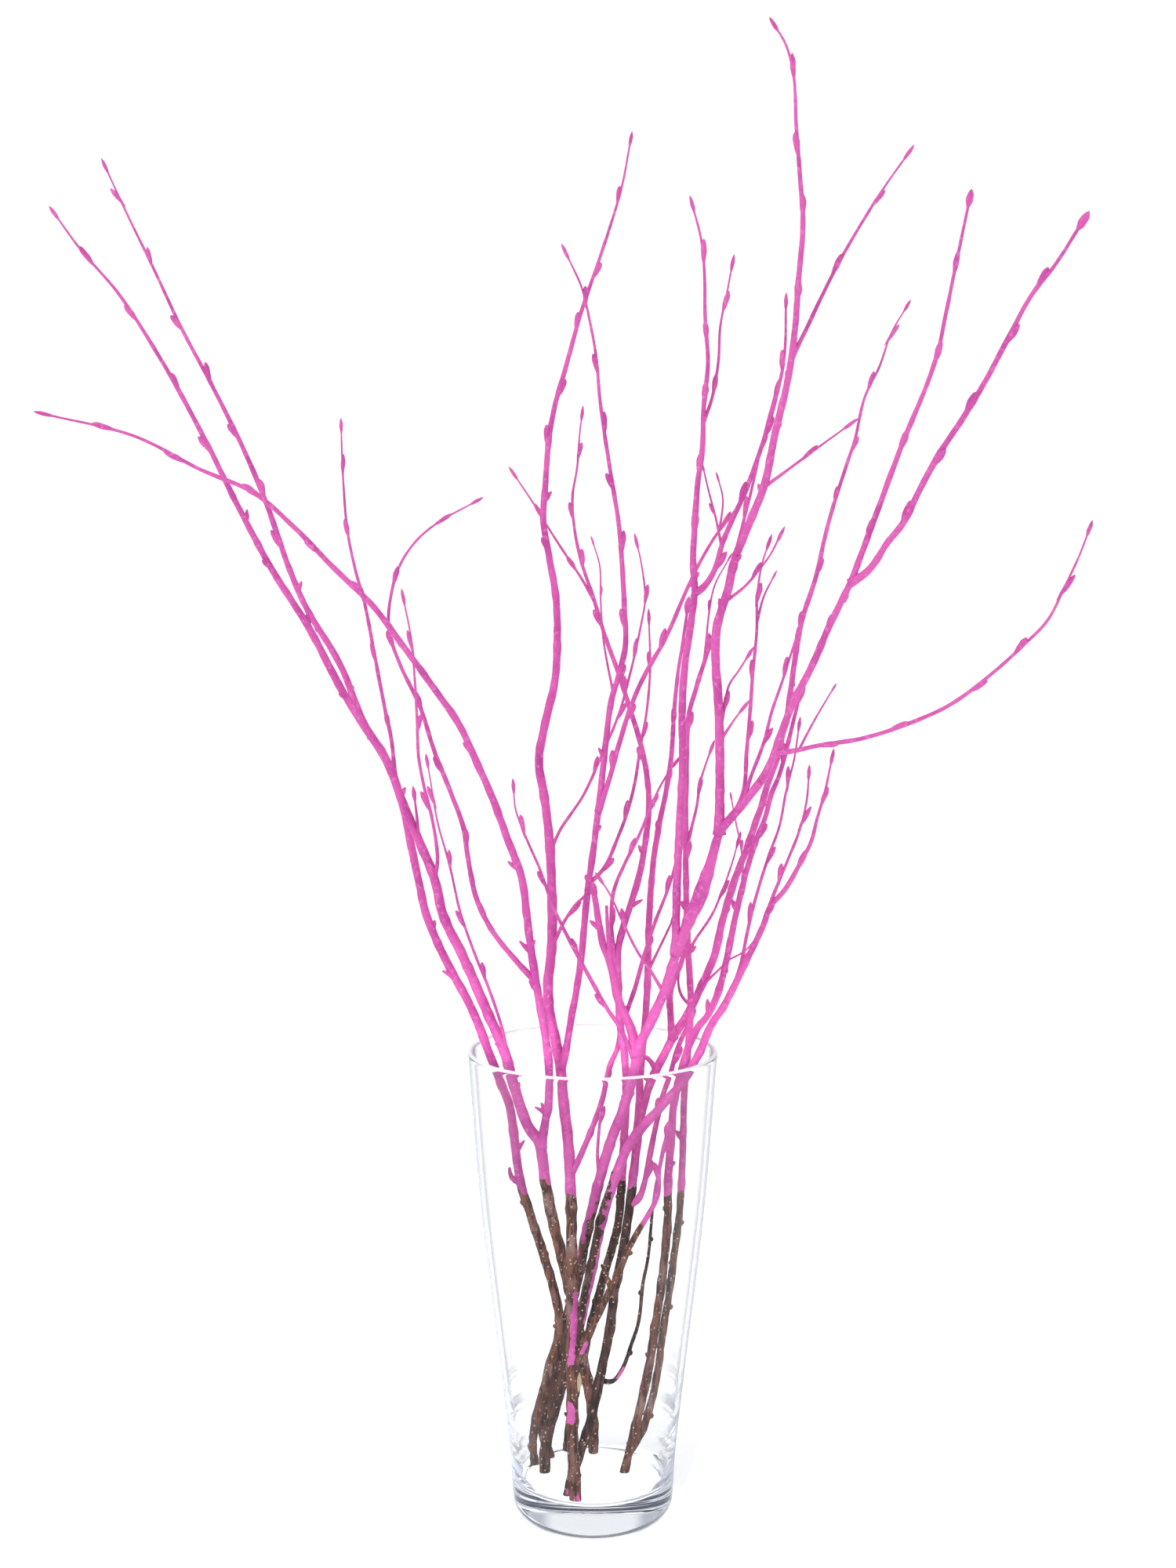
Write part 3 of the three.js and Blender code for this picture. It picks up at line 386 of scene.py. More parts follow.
# Paint and bark
# Birch wood in its own skin: brown bark, darker on some twigs, with a grey bloom and pale lenticels,
# dipped in satin pink paint. The paint attribute is the height above the paint's lower edge.
PINK = (0.74, 0.120, 0.462, 1)
PINK_DEEP = (0.59, 0.072, 0.370, 1)
PINK_PALE = (0.82, 0.185, 0.545, 1)
BARK_BROWN = (0.235, 0.092, 0.060, 1)
BARK_SHADOW = (0.074, 0.027, 0.020, 1)
DARK_BARK = (0.075, 0.029, 0.024, 1)
DARK_BARK_SHADOW = (0.022, 0.011, 0.010, 1)
BARK_GREY = (0.320, 0.190, 0.170, 1)
LENTICEL = (0.64, 0.47, 0.33, 1)
PAINT_RAGGEDNESS = 0.011
BARK_ROUGHNESS = 0.78

birch_material, tree, shader, place = new_material("painted_birch")
shader.inputs["Specular IOR Level"].default_value = 0.25
height = place.attribute("paint")
rag = place.noise(180.0, 3.0)
painted = (height + PAINT_RAGGEDNESS * (rag - 0.5)).between(-0.0005, 0.0005)

cloud = place.noise(55.0, 3.0)
fleck = place.noise(420.0, 3.0)
pink = cloud.between(0.40, 0.68).mix(PINK, PINK_DEEP)
pink = fleck.between(0.52, 0.72).mix(pink, PINK_PALE)

grain = place.drawn_out(0.22).noise(520.0, 4.0)
bloom = place.noise(45.0)
pore = place.node("ShaderNodeTexVoronoi", Vector=place, Scale=400.0, Randomness=1.0)
darkness = place.attribute("bark_shade")
lit = darkness.mix(BARK_BROWN, DARK_BARK)
furrow = darkness.mix(BARK_SHADOW, DARK_BARK_SHADOW)
brown = grain.between(0.38, 0.60).mix(furrow, lit)
brown = (bloom.between(0.48, 0.66) * grain.between(0.35, 0.6) * (1 - 0.7 * darkness)).mix(brown, BARK_GREY)
brown = (1 - pore.between(0.14, 0.25)).mix(brown, LENTICEL)

painted.mix(brown, pink).feed(shader, "Base Color")
gloss = painted * (0.40 + 0.12 * fleck) + (1 - painted) * BARK_ROUGHNESS
gloss.feed(shader, "Roughness")
relief = painted * (0.35 * fleck + 0.25 * cloud) + (1 - painted) * (0.9 * grain - 0.5 * pore)
bumps = place.node("ShaderNodeBump", Strength=0.35, Distance=0.0006, Height=relief + 0.6 * painted)
bumps.feed(shader, "Normal")


# Twigs
# Each grew as one piece: a stem cut flat at its foot, with limbs that thin towards their buds. A limb
# is a tube carried along its route, and buds and thorn-like spurs are spindles that grow out of it.
STEP = 2.4 * MM
TAPER_POWER = 2.0
FOOT_HEIGHT = (FLOOR_HEIGHT + 0.3) * MM
STOUT_RADIUS = 1.2
STOUT_COLUMNS = 14
SLIM_COLUMNS = 9
COLLAR = 0.55
COLLAR_LENGTH = 6 * MM
JOINT_SPACING = 27.0 * MM
JOINT_SWELLING = 0.12
BARE_LUMPS = 0.17
PAINTED_LUMPS = 0.11
DIP_TILT = 2.0 * MM
RUN_HALF_ANGLE = 0.7
RUN_SLOPE = 7 * MM
HAIR_RADIUS = 0.6
HAIR_BUD_SIZE = 0.62
TIP_BUD_LENGTH = (8.5, 11.0)
BUD_LIMB_RADIUS = 1.5
BUD_LENGTH = (11.5, 15.0)
BUD_WIDTH = (0.8, 1.1)
BUD_SPACING = (26, 42)
SPUR_LENGTHS = (1.2, 2.2, 4.0, 6.0)
SPUR_WIDTH = (1.2, 1.8)
SPUR_SPACING = (22, 44)
KNOB_LENGTH = (0.8, 2.0)
KNOB_WIDTH = (1.3, 1.8)
KNOB_SPACING = (20, 42)
SMOOTH_END = 12 * MM


def seen_places(route):
    """Route points [x, z, depth] in millimetres, moved from the plane through the vase's axis along
    the line of sight until they lie that deep."""
    x, z, depth = np.asarray(route, dtype=float).T * MM
    flat = np.column_stack([x, np.zeros_like(x), z])
    return EYE + (flat - EYE) * (1 - depth / EYE[1])[:, None]


def limb_frame(path):
    """Unit directions along a path and two square to it, the first with no depth, so nothing twists."""
    forward = np.gradient(path, axis=0)
    forward /= np.linalg.norm(forward, axis=1)[:, None]
    side = np.cross([0.0, 1.0, 0.0], forward)
    side /= np.linalg.norm(side, axis=1)[:, None]
    return forward, side, np.cross(side, forward)


def ring_tube(path, radius):
    """Rings round a path: centre + radius(run, angle) * (cos(angle) * side + sin(angle) * out)."""
    _, side, out = limb_frame(path)
    angle = np.linspace(0, 2 * math.pi, radius.shape[1], endpoint=False)[None, :, None]
    rings = side[:, None, :] * np.cos(angle) + out[:, None, :] * np.sin(angle)
    return path[:, None, :] + radius[:, :, None] * rings


def uneven(run, angle, draw):
    """Gentle lumps on a limb: a sum of four waves along its run and round it, with drawn lengths."""
    total = np.zeros((len(run), len(angle)))
    for turns, longest in ((1, 0.060), (2, 0.030), (3, 0.016), (2, 0.009)):
        wave = longest * draw.uniform(0.7, 1.3)
        phase = draw.uniform(0, 2 * math.pi)
        total += np.sin(2 * math.pi * run[:, None] / wave + turns * angle[None, :] + phase) / 4
    return total


def spindle(root, direction, length, width, swell, point, draw):
    """A bud or spur: a straight core with radius width * t**swell * (1 - t)**point, scaled to peak at
    width, and faint scales that lap in three rows."""
    t = np.array([0.02, 0.15, 0.30, 0.44, 0.56, 0.67, 0.77, 0.86, 0.94, 0.99])
    peak = swell / (swell + point)
    shape = (t / peak) ** swell * ((1 - t) / (1 - peak)) ** point
    angle = np.linspace(0, 2 * math.pi, SLIM_COLUMNS, endpoint=False)
    scales = 1 + 0.07 * np.sin(3 * angle[None, :] + 14 * t[:, None] + draw.uniform(0, 6))
    path = root + t[:, None] * length * direction
    return ring_tube(path, width * shape[:, None] * scales)


class TwigMesh:
    """The closed surfaces of one twig, gathered with their height above the paint line."""

    def __init__(self):
        self.vertices = []
        self.faces = []
        self.paint = []
        self.count = 0

    def add(self, rings, paint):
        rows, columns, _ = rings.shape
        self.vertices.append(rings.reshape(-1, 3))
        self.paint.append(np.broadcast_to(paint, (rows, columns)).reshape(-1))
        self.faces += tube_faces(rows, columns, self.count)
        self.count += rows * columns


def limb_radius(limb, fraction):
    """The limb's radius at a fraction of its length, thinning slowly at first."""
    thick, thin = limb["radii"]
    return (thick + (thin - thick) * fraction ** limb.get("taper", TAPER_POWER)) * MM


def outward(side, out, angle):
    """The direction straight out of a limb at an angle round it."""
    return math.cos(angle) * side + math.sin(angle) * out


def unit(vector):
    """The vector at length 1."""
    return vector / np.linalg.norm(vector)


def add_buds(twig, limb, path, run, draw):
    """A bud on the tip, buds that hug the limb by turns to either side, spurs where it is stout, and
    low knobs where it is bare."""
    forward, side, out = limb_frame(path)
    size = HAIR_BUD_SIZE if limb["radii"][0] < HAIR_RADIUS else 1.0
    tip_length = size * draw.uniform(*TIP_BUD_LENGTH) * MM
    tip_root = path[-1] - 0.45 * tip_length * forward[-1]
    tip_width = size * min(max(0.95, 4.4 * limb["radii"][1] - 1.0), 2.0) * MM
    twig.add(spindle(tip_root, forward[-1], tip_length, tip_width, 0.9, 0.8, draw), 1)
    angle = draw.uniform(0, 2 * math.pi)
    place_m = run[-1] - draw.uniform(20, 32) * MM
    while place_m > limb["painted_from"] + SMOOTH_END:
        i = int(np.searchsorted(run, place_m))
        thick = limb_radius(limb, run[i] / run[-1])
        away = outward(side[i], out[i], angle)
        if thick < BUD_LIMB_RADIUS * MM:
            heading = unit(forward[i] + draw.uniform(0.14, 0.28) * away)
            length = size * draw.uniform(*BUD_LENGTH) * MM
            root = path[i] - 0.4 * length * heading + 0.45 * thick * away
            width = thick * 0.55 + size * draw.uniform(*BUD_WIDTH) * MM
            twig.add(spindle(root, heading, length, width, 1.15, 0.62, draw), 1)
            place_m -= draw.uniform(*BUD_SPACING) * MM
        else:
            heading = unit(forward[i] + draw.uniform(0.7, 1.3) * away)
            length = thick + draw.choice(SPUR_LENGTHS) * draw.uniform(0.9, 1.2) * MM
            root = path[i] - 0.1 * length * heading
            twig.add(spindle(root, heading, length, draw.uniform(*SPUR_WIDTH) * MM, 0.35, 0.7, draw), 1)
            place_m -= draw.uniform(*SPUR_SPACING) * MM
        angle += math.pi + draw.uniform(-0.5, 0.5)
    place_m = limb["painted_from"] - draw.uniform(8, 20) * MM
    while place_m > SMOOTH_END:
        i = int(np.searchsorted(run, place_m))
        heading = unit(outward(side[i], out[i], angle) + 0.5 * forward[i])
        length = limb_radius(limb, run[i] / run[-1]) + draw.uniform(*KNOB_LENGTH) * MM
        twig.add(spindle(path[i], heading, length, draw.uniform(*KNOB_WIDTH) * MM, 0.3, 0.5, draw), -1)
        place_m -= draw.uniform(*KNOB_SPACING) * MM
        angle += math.pi + draw.uniform(-0.8, 0.8)


def cut_foot(rings, path, run):
    """A stem's rings above its cut: the lowest whole ring is carried straight down its own direction
    to the cut's height, and what lies below is left out."""
    first = int(np.argmax(rings[:, :, 2].min(axis=1) > FOOT_HEIGHT))
    forward = path[first + 1] - path[first]
    drop = (rings[first, :, 2] - FOOT_HEIGHT) / forward[2]
    foot = rings[first] - drop[:, None] * forward
    foot_centre = foot.mean(axis=0)
    kept_path = np.vstack([foot_centre, path[first:]])
    kept_run = np.concatenate([[run[first] - np.linalg.norm(path[first] - foot_centre)], run[first:]])
    return np.concatenate([foot[None], rings[first:]]), kept_path, kept_run


def paint_height(limb, rings, angle, draw):
    """Height above the paint's lower edge, divided by how ragged that edge is, with a little tilt round
    the limb, and above 0 in each run of paint too: a stripe between two heights, which faces one way at
    its foot and another at its head."""
    tilt = DIP_TILT * np.sin(angle + draw.uniform(0, 2 * math.pi))
    paint = (rings[:, :, 2] - limb["bare"] * MM) / limb.get("ragged", 1.0) + tilt
    for low, high, low_facing, high_facing in limb.get("runs", ()):
        inside = 0.5 * (high - low) * MM - np.abs(rings[:, :, 2] - 0.5 * (low + high) * MM)
        facing = np.interp(rings[:, :, 2], (low * MM, high * MM), (low_facing, high_facing))
        turned = RUN_HALF_ANGLE - np.abs((angle - facing + math.pi) % (2 * math.pi) - math.pi)
        paint = np.maximum(paint, np.minimum(inside, RUN_SLOPE * turned))
    return paint


def add_limb(twig, limb, draw):
    """One limb: its route smoothed, a collar where it leaves its parent, a swelling at each joint of its
    growth, lumps, and the paint's height."""
    path, run = smooth_path(limb["points"], STEP)
    columns = STOUT_COLUMNS if limb["radii"][0] > STOUT_RADIUS else SLIM_COLUMNS
    angle = np.linspace(0, 2 * math.pi, columns, endpoint=False)
    radius = limb_radius(limb, run / run[-1])
    if "on" in limb:
        radius = radius * (1 + COLLAR * np.exp(-run / COLLAR_LENGTH))
    if "knot" in limb:
        knot_height, half_length, extra = np.array(limb["knot"]) * MM
        radius = radius + extra * np.exp(-((path[:, 2] - knot_height) / half_length) ** 2)
    rough = np.where(path[:, 2] < limb.get("bare", 0) * MM, BARE_LUMPS, PAINTED_LUMPS)[:, None]
    joints = np.maximum(0, np.cos(2 * math.pi * run / JOINT_SPACING + draw.uniform(0, 6))) ** 8
    lumps = 1 + rough * uneven(run, angle, draw) + JOINT_SWELLING * joints[:, None]
    rings = ring_tube(path, radius[:, None] * lumps)
    if "on" not in limb:
        rings, path, run = cut_foot(rings, path, run)
    if "bare" in limb:
        twig.add(rings, paint_height(limb, rings, angle, draw))
        limb["painted_from"] = run[np.argmax(path[:, 2] > limb["bare"] * MM)]
    else:
        twig.add(rings, 0.1)
        limb["painted_from"] = 0.0
    if "blunt" not in limb:
        add_buds(twig, limb, path, run, draw)
    return path


def grow_twig(name, seed, shade, limbs):
    """One twig as one piece, which stands for all the CAD nodes of that twig; shade darkens its bark."""
    draw = np.random.default_rng(seed)
    twig = TwigMesh()
    paths = {}
    for limb_name, limb in limbs.items():
        limb["points"] = seen_places(limb["route"])
        if "on" in limb:
            parent = paths[limb["on"]]
            nearest = np.argmin(np.linalg.norm(parent - limb["points"][0], axis=1))
            limb["points"][0] = parent[nearest]
        paths[limb_name] = add_limb(twig, limb, draw)
    piece = mesh_piece(name, np.vstack(twig.vertices), twig.faces, birch_material)
    for key, values in (("paint", np.concatenate(twig.paint)), ("bark_shade", np.full(twig.count, shade))):
        piece.data.attributes.new(key, "FLOAT", "POINT").data.foreach_set("value", values)
    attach(piece, "root")
    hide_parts(*[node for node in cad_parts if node.startswith(name + "_")])


# Twig 1
# The outermost twig on the left: it leans over the rim and runs straight out to its tip, with one
# upright shoot near its middle.
grow_twig("twig_1", seed=101, shade=0.0, limbs={
    "stem": dict(bare=172, radii=(2.5, 0.45), route=[
        (-31, 24, 13), (-32.4, 36, 13.2), (-30.8, 50, 14), (-28.3, 59, 15), (-22.8, 80, 15),
        (-18.6, 95, 13.3), (-17.8, 105, 13), (-20.2, 120, 13), (-26, 140, 12), (-32.5, 160, 10),
        (-38.3, 180, 8.5), (-41.1, 200, 7), (-43.8, 220, 6), (-47.8, 231, 5), (-55, 250, 4), (-63, 271, 7),
        (-78, 300, 12), (-86.2, 320, 16), (-90.6, 340, 20), (-94.8, 360, 23), (-98.8, 380, 26),
        (-105.5, 400, 28), (-118, 421, 30), (-129.6, 450, 33), (-147, 480, 36), (-155.5, 500, 38),
        (-165.6, 530, 41), (-177.8, 560, 44), (-192.3, 590, 47), (-208, 620, 50), (-221.8, 650, 53),
        (-236, 680, 56), (-245, 700, 59)]),
    "upright_shoot": dict(on="stem", radii=(1.05, 0.4), route=[
        (-100.8, 392, 27), (-103.6, 410, 28), (-107.5, 430, 29), (-112, 455, 31), (-117, 482, 33),
        (-121.8, 500, 34.5), (-125.5, 520, 36), (-127.5, 550, 38), (-128, 571, 40)]),
    "low_stub": dict(on="stem", blunt=True, radii=(1.3, 0.7), route=[
        (-38.2, 179, 8.5), (-42.2, 181, 7.5), (-43.6, 184, 7.2), (-44, 187, 7)]),
    "thorn": dict(on="stem", blunt=True, radii=(1.2, 0.4), route=[
        (-72.5, 288, 10), (-75.5, 290, 9), (-78.4, 291.4, 8.5)]),
})


# Twig 2
# Forks inside the vase: one arm follows twig 1 to the left, the other arches over to the lowest
# and widest tip on that side.
grow_twig("twig_2", seed=102, shade=0.05, limbs={
    "stem": dict(bare=181, radii=(3, 0.45), route=[
        (0.4, 29, 29.3), (0.1, 45, 26), (-1.5, 65, 21.5), (-4.5, 80, 18.5), (-7.6, 100, 15), (-12, 120, 11),
        (-16.4, 140, 7), (-21.5, 160, 2), (-25, 180, -3), (-27.9, 200, -8), (-34.3, 210, -9),
        (-41, 230, -10), (-46.6, 250, -11), (-55.3, 270, -11), (-68, 300, -8), (-77.5, 320, -5),
        (-82.3, 340, -2.5), (-90.2, 360, 1), (-98.5, 380, 3), (-106, 400, 2), (-119, 421, 0),
        (-130.5, 440, -2), (-146, 470, -6), (-164.7, 500, -10), (-180.4, 530, -14), (-195, 560, -18),
        (-210.5, 590, -22), (-222, 610, -25), (-240, 638, -29), (-258.8, 660, -33), (-271, 677, -36)]),
    "long_arm": dict(on="stem", radii=(2.1, 0.45), route=[
        (-27.6, 198, -7.5), (-24.9, 211, -10), (-23, 222, -11.5), (-23, 240, -14), (-25.2, 260, -17.5),
        (-28.7, 280, -21), (-31.8, 300, -24), (-34.2, 320, -27), (-36.9, 340, -30), (-44, 360, -33),
        (-51.2, 380, -36), (-59.9, 400, -39), (-69, 420, -42), (-81.5, 438, -45), (-97.3, 460, -49),
        (-112.3, 480, -52), (-132.6, 500, -55), (-152, 520, -59), (-173, 538, -63), (-200.5, 550, -67),
        (-233, 566.5, -73), (-278, 577.5, -80)]),
    "curled_shoot": dict(on="long_arm", radii=(1.35, 0.4), route=[
        (-30, 284, -21.5), (-42, 299, -21), (-52.3, 312.5, -19), (-60.3, 329, -16), (-64.8, 351, -11),
        (-66.8, 366, -7), (-74, 386, -3), (-81.7, 406, 1), (-89, 429, 5), (-98.8, 450, 8),
        (-104.4, 467, 10), (-104.4, 480, 11.5), (-99.3, 500, 14), (-90, 514, 16), (-79, 523, 17),
        (-60, 533.5, 18)]),
    "rim_shoot": dict(on="stem", radii=(0.8, 0.35), route=[
        (-44.8, 243, -11), (-46.8, 258.5, -14), (-54, 281.5, -18), (-60.6, 298, -20), (-68.7, 321.5, -22),
        (-74.3, 347, -23.5), (-80.4, 369.5, -25), (-83.9, 391, -26), (-85.4, 400, -26.5)]),
    "knot_shoot": dict(on="stem", radii=(0.9, 0.4), route=[
        (-82, 338, -3), (-80.5, 350, -4), (-83, 370, -5), (-87.7, 390, -6), (-90, 404, -7),
        (-90.5, 420, -8), (-91.7, 445, -9), (-93.3, 464, -10), (-97, 484, -11)]),
    "spur": dict(on="stem", radii=(0.75, 0.5), route=[
        (-90, 360, 1), (-91, 372, 0), (-92.3, 383, -1)]),
    "low_thorn": dict(on="long_arm", blunt=True, radii=(1.1, 0.35), route=[
        (-24.2, 216.5, -11), (-27.5, 218, -11.5), (-30.2, 219.4, -12)]),
    "high_thorn": dict(on="long_arm", blunt=True, radii=(1.2, 0.35), route=[
        (-32.8, 302, -24.3), (-35.5, 304.3, -24.5), (-38.1, 307, -24.7)]),
})


# Twig 3
# The front twig, nearest the viewer at its foot: it forks above the rim into two slim uprights in
# the middle of the bundle. Paint has run down its bare front, and a knife has left a pale scar there.
grow_twig("twig_3", seed=103, shade=0.1, limbs={
    "stem": dict(
        bare=174, radii=(3, 0.45),
        runs=[(91, 126, 1.75, 0.5), (63, 72.5, 1.95, 1.7), (20.3, 25, 1.3, 1.3)], route=[
        (-9, 1, -32), (-9.6, 20, -30.8), (-10.5, 40, -29.5), (-11, 80, -25), (-11, 120, -18.5),
        (-11.1, 150, -12.5), (-11.8, 180, -6), (-12.8, 200, -2), (-15.2, 220, 3), (-16.9, 241, 8),
        (-19.5, 255, 11), (-22.8, 271, 14), (-23.3, 284, 15.5), (-21.5, 302, 17), (-21.4, 340, 21),
        (-22.6, 360, 23), (-25, 382, 25), (-27.8, 401, 26), (-24.7, 420, 27), (-19.5, 442, 28),
        (-18.3, 465, 29), (-19, 486, 30), (-22.5, 506, 31), (-25.3, 524, 32), (-24.2, 542, 33),
        (-22.3, 566, 34), (-19, 583, 35), (-14.4, 599, 36), (-5.8, 629, 38), (1.5, 650, 40), (9, 672, 42),
        (14.6, 691, 43.5), (18.8, 713, 45)]),
    "low_branch": dict(on="stem", bare=160, radii=(1.9, 0.7), runs=[(97, 103, 1.2, 1.2)], route=[
        (-10.5, 79, -25), (-6.8, 86.5, -24.5), (-0.5, 100.5, -23), (5.7, 114, -21), (13, 129, -18.5),
        (19.8, 145.5, -16.5), (28.6, 161, -15), (33, 169.5, -14), (34.6, 177, -13.5), (34.6, 184, -13),
        (36.4, 195, -12.3), (39, 207, -11.5)]),
    "side_branch": dict(on="stem", radii=(1.5, 0.6), route=[
        (-11.9, 183, -5.4), (-7.5, 191, -5), (-2, 204, -2), (4.6, 222, 3), (8.7, 240, 7.5), (13, 251, 10),
        (14.8, 262, 11.5), (18.5, 272, 12), (22.4, 283.5, 12.5), (26.3, 298, 13), (32, 316, 14),
        (37, 329, 14.5), (41, 340, 15), (43.5, 352, 15.5)]),
    "right_arm": dict(on="stem", radii=(1.8, 0.4), route=[
        (-16.8, 239, 7.5), (-14, 250, 8), (-11.3, 266, 6.5), (-8.5, 281, 5), (-5.9, 300, 3.5),
        (-4, 320, 1.5), (-2, 339, 0), (0.3, 355, -1.5), (3, 377, -3.8), (5, 395, -5.5), (7.2, 415, -7.3),
        (9.5, 432, -9), (13.5, 446, -10.3), (16.8, 461, -11.5), (16.2, 478, -12.8), (15.2, 497, -14.2),
        (13.5, 520, -16.5), (9.5, 545, -19), (6.2, 566, -21), (3.4, 586, -23), (1.7, 606, -25),
        (-1.8, 625, -27), (-5.8, 641, -29), (-13.5, 657.5, -31)]),
    "crossing_shoot": dict(on="right_arm", radii=(1.3, 0.5), route=[
        (2.6, 374, -3.5), (8, 390, -6.5), (13.6, 410, -9.5), (20, 430, -13), (26.5, 445, -16),
        (37.5, 464.5, -20), (44.5, 480.5, -24), (51.5, 496.5, -27), (61.5, 514.5, -31), (73, 530, -35),
        (77, 538, -37)]),
    "cluster_shoot": dict(on="right_arm", radii=(0.95, 0.4), route=[
        (-1.6, 337, 0.2), (5.6, 345, 2), (12.7, 360.5, 5), (18.3, 376, 7), (21.9, 391, 8.5), (24.4, 408, 9),
        (27.5, 425, 8), (29.4, 448, 5.5), (28.7, 474, 2.5)]),
    "thin_shoot": dict(on="stem", radii=(0.8, 0.4), route=[
        (-22.2, 354, 22.4), (-17, 365, 22), (-5, 383, 20), (5, 405, 17), (13.5, 425.5, 15),
        (19.5, 447.5, 13), (25, 472.5, 11.5), (26.8, 484.5, 11), (24.6, 503, 10.3), (22.4, 512.5, 10)]),
    "bridge": dict(on="stem", radii=(0.9, 0.7), route=[
        (-21.4, 303, 17), (-15, 317, 13), (-9, 326, 9), (-4, 331, 5), (-2.6, 334, 0.9)]),
    "hair_shoot": dict(on="right_arm", radii=(0.55, 0.35), route=[
        (10.5, 436, -9.3), (7.5, 450.5, -11), (5.3, 464, -12.5), (4, 483, -14), (3.5, 501, -15),
        (0, 513, -16)]),
    "dark_stub": dict(on="low_branch", blunt=True, bare=400, radii=(1.2, 0.9), route=[
        (10.2, 123, -19.5), (7, 129, -18.7), (4.9, 135, -18)]),
})

SCAR_FOOT = np.array([-7.3, -27.2, 76.5]) * MM
SCAR_RISE = np.array([0.05, 0.1, 0.99])
SCAR_LENGTH = 10.5 * MM
SCAR_WIDTH = 1.25 * MM
WOOD_DEEP = (0.50, 0.29, 0.12, 1)
WOOD_PALE = (0.90, 0.74, 0.50, 1)

wood_material, tree, shader, place = new_material("cut_wood")
fibre = place.drawn_out(0.1).noise(900.0, 3.0)
fibre.mix(WOOD_DEEP, WOOD_PALE).feed(shader, "Base Color")
(0.55 + 0.2 * fibre).feed(shader, "Roughness")
scar_draw = np.random.default_rng(113)
scar_rings = spindle(SCAR_FOOT, SCAR_RISE, SCAR_LENGTH, SCAR_WIDTH, 0.8, 0.8, scar_draw)
scar_faces = tube_faces(*scar_rings.shape[:2], 0)
scar = mesh_piece("twig_3_scar", scar_rings.reshape(-1, 3), scar_faces, wood_material)
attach(scar, "root")


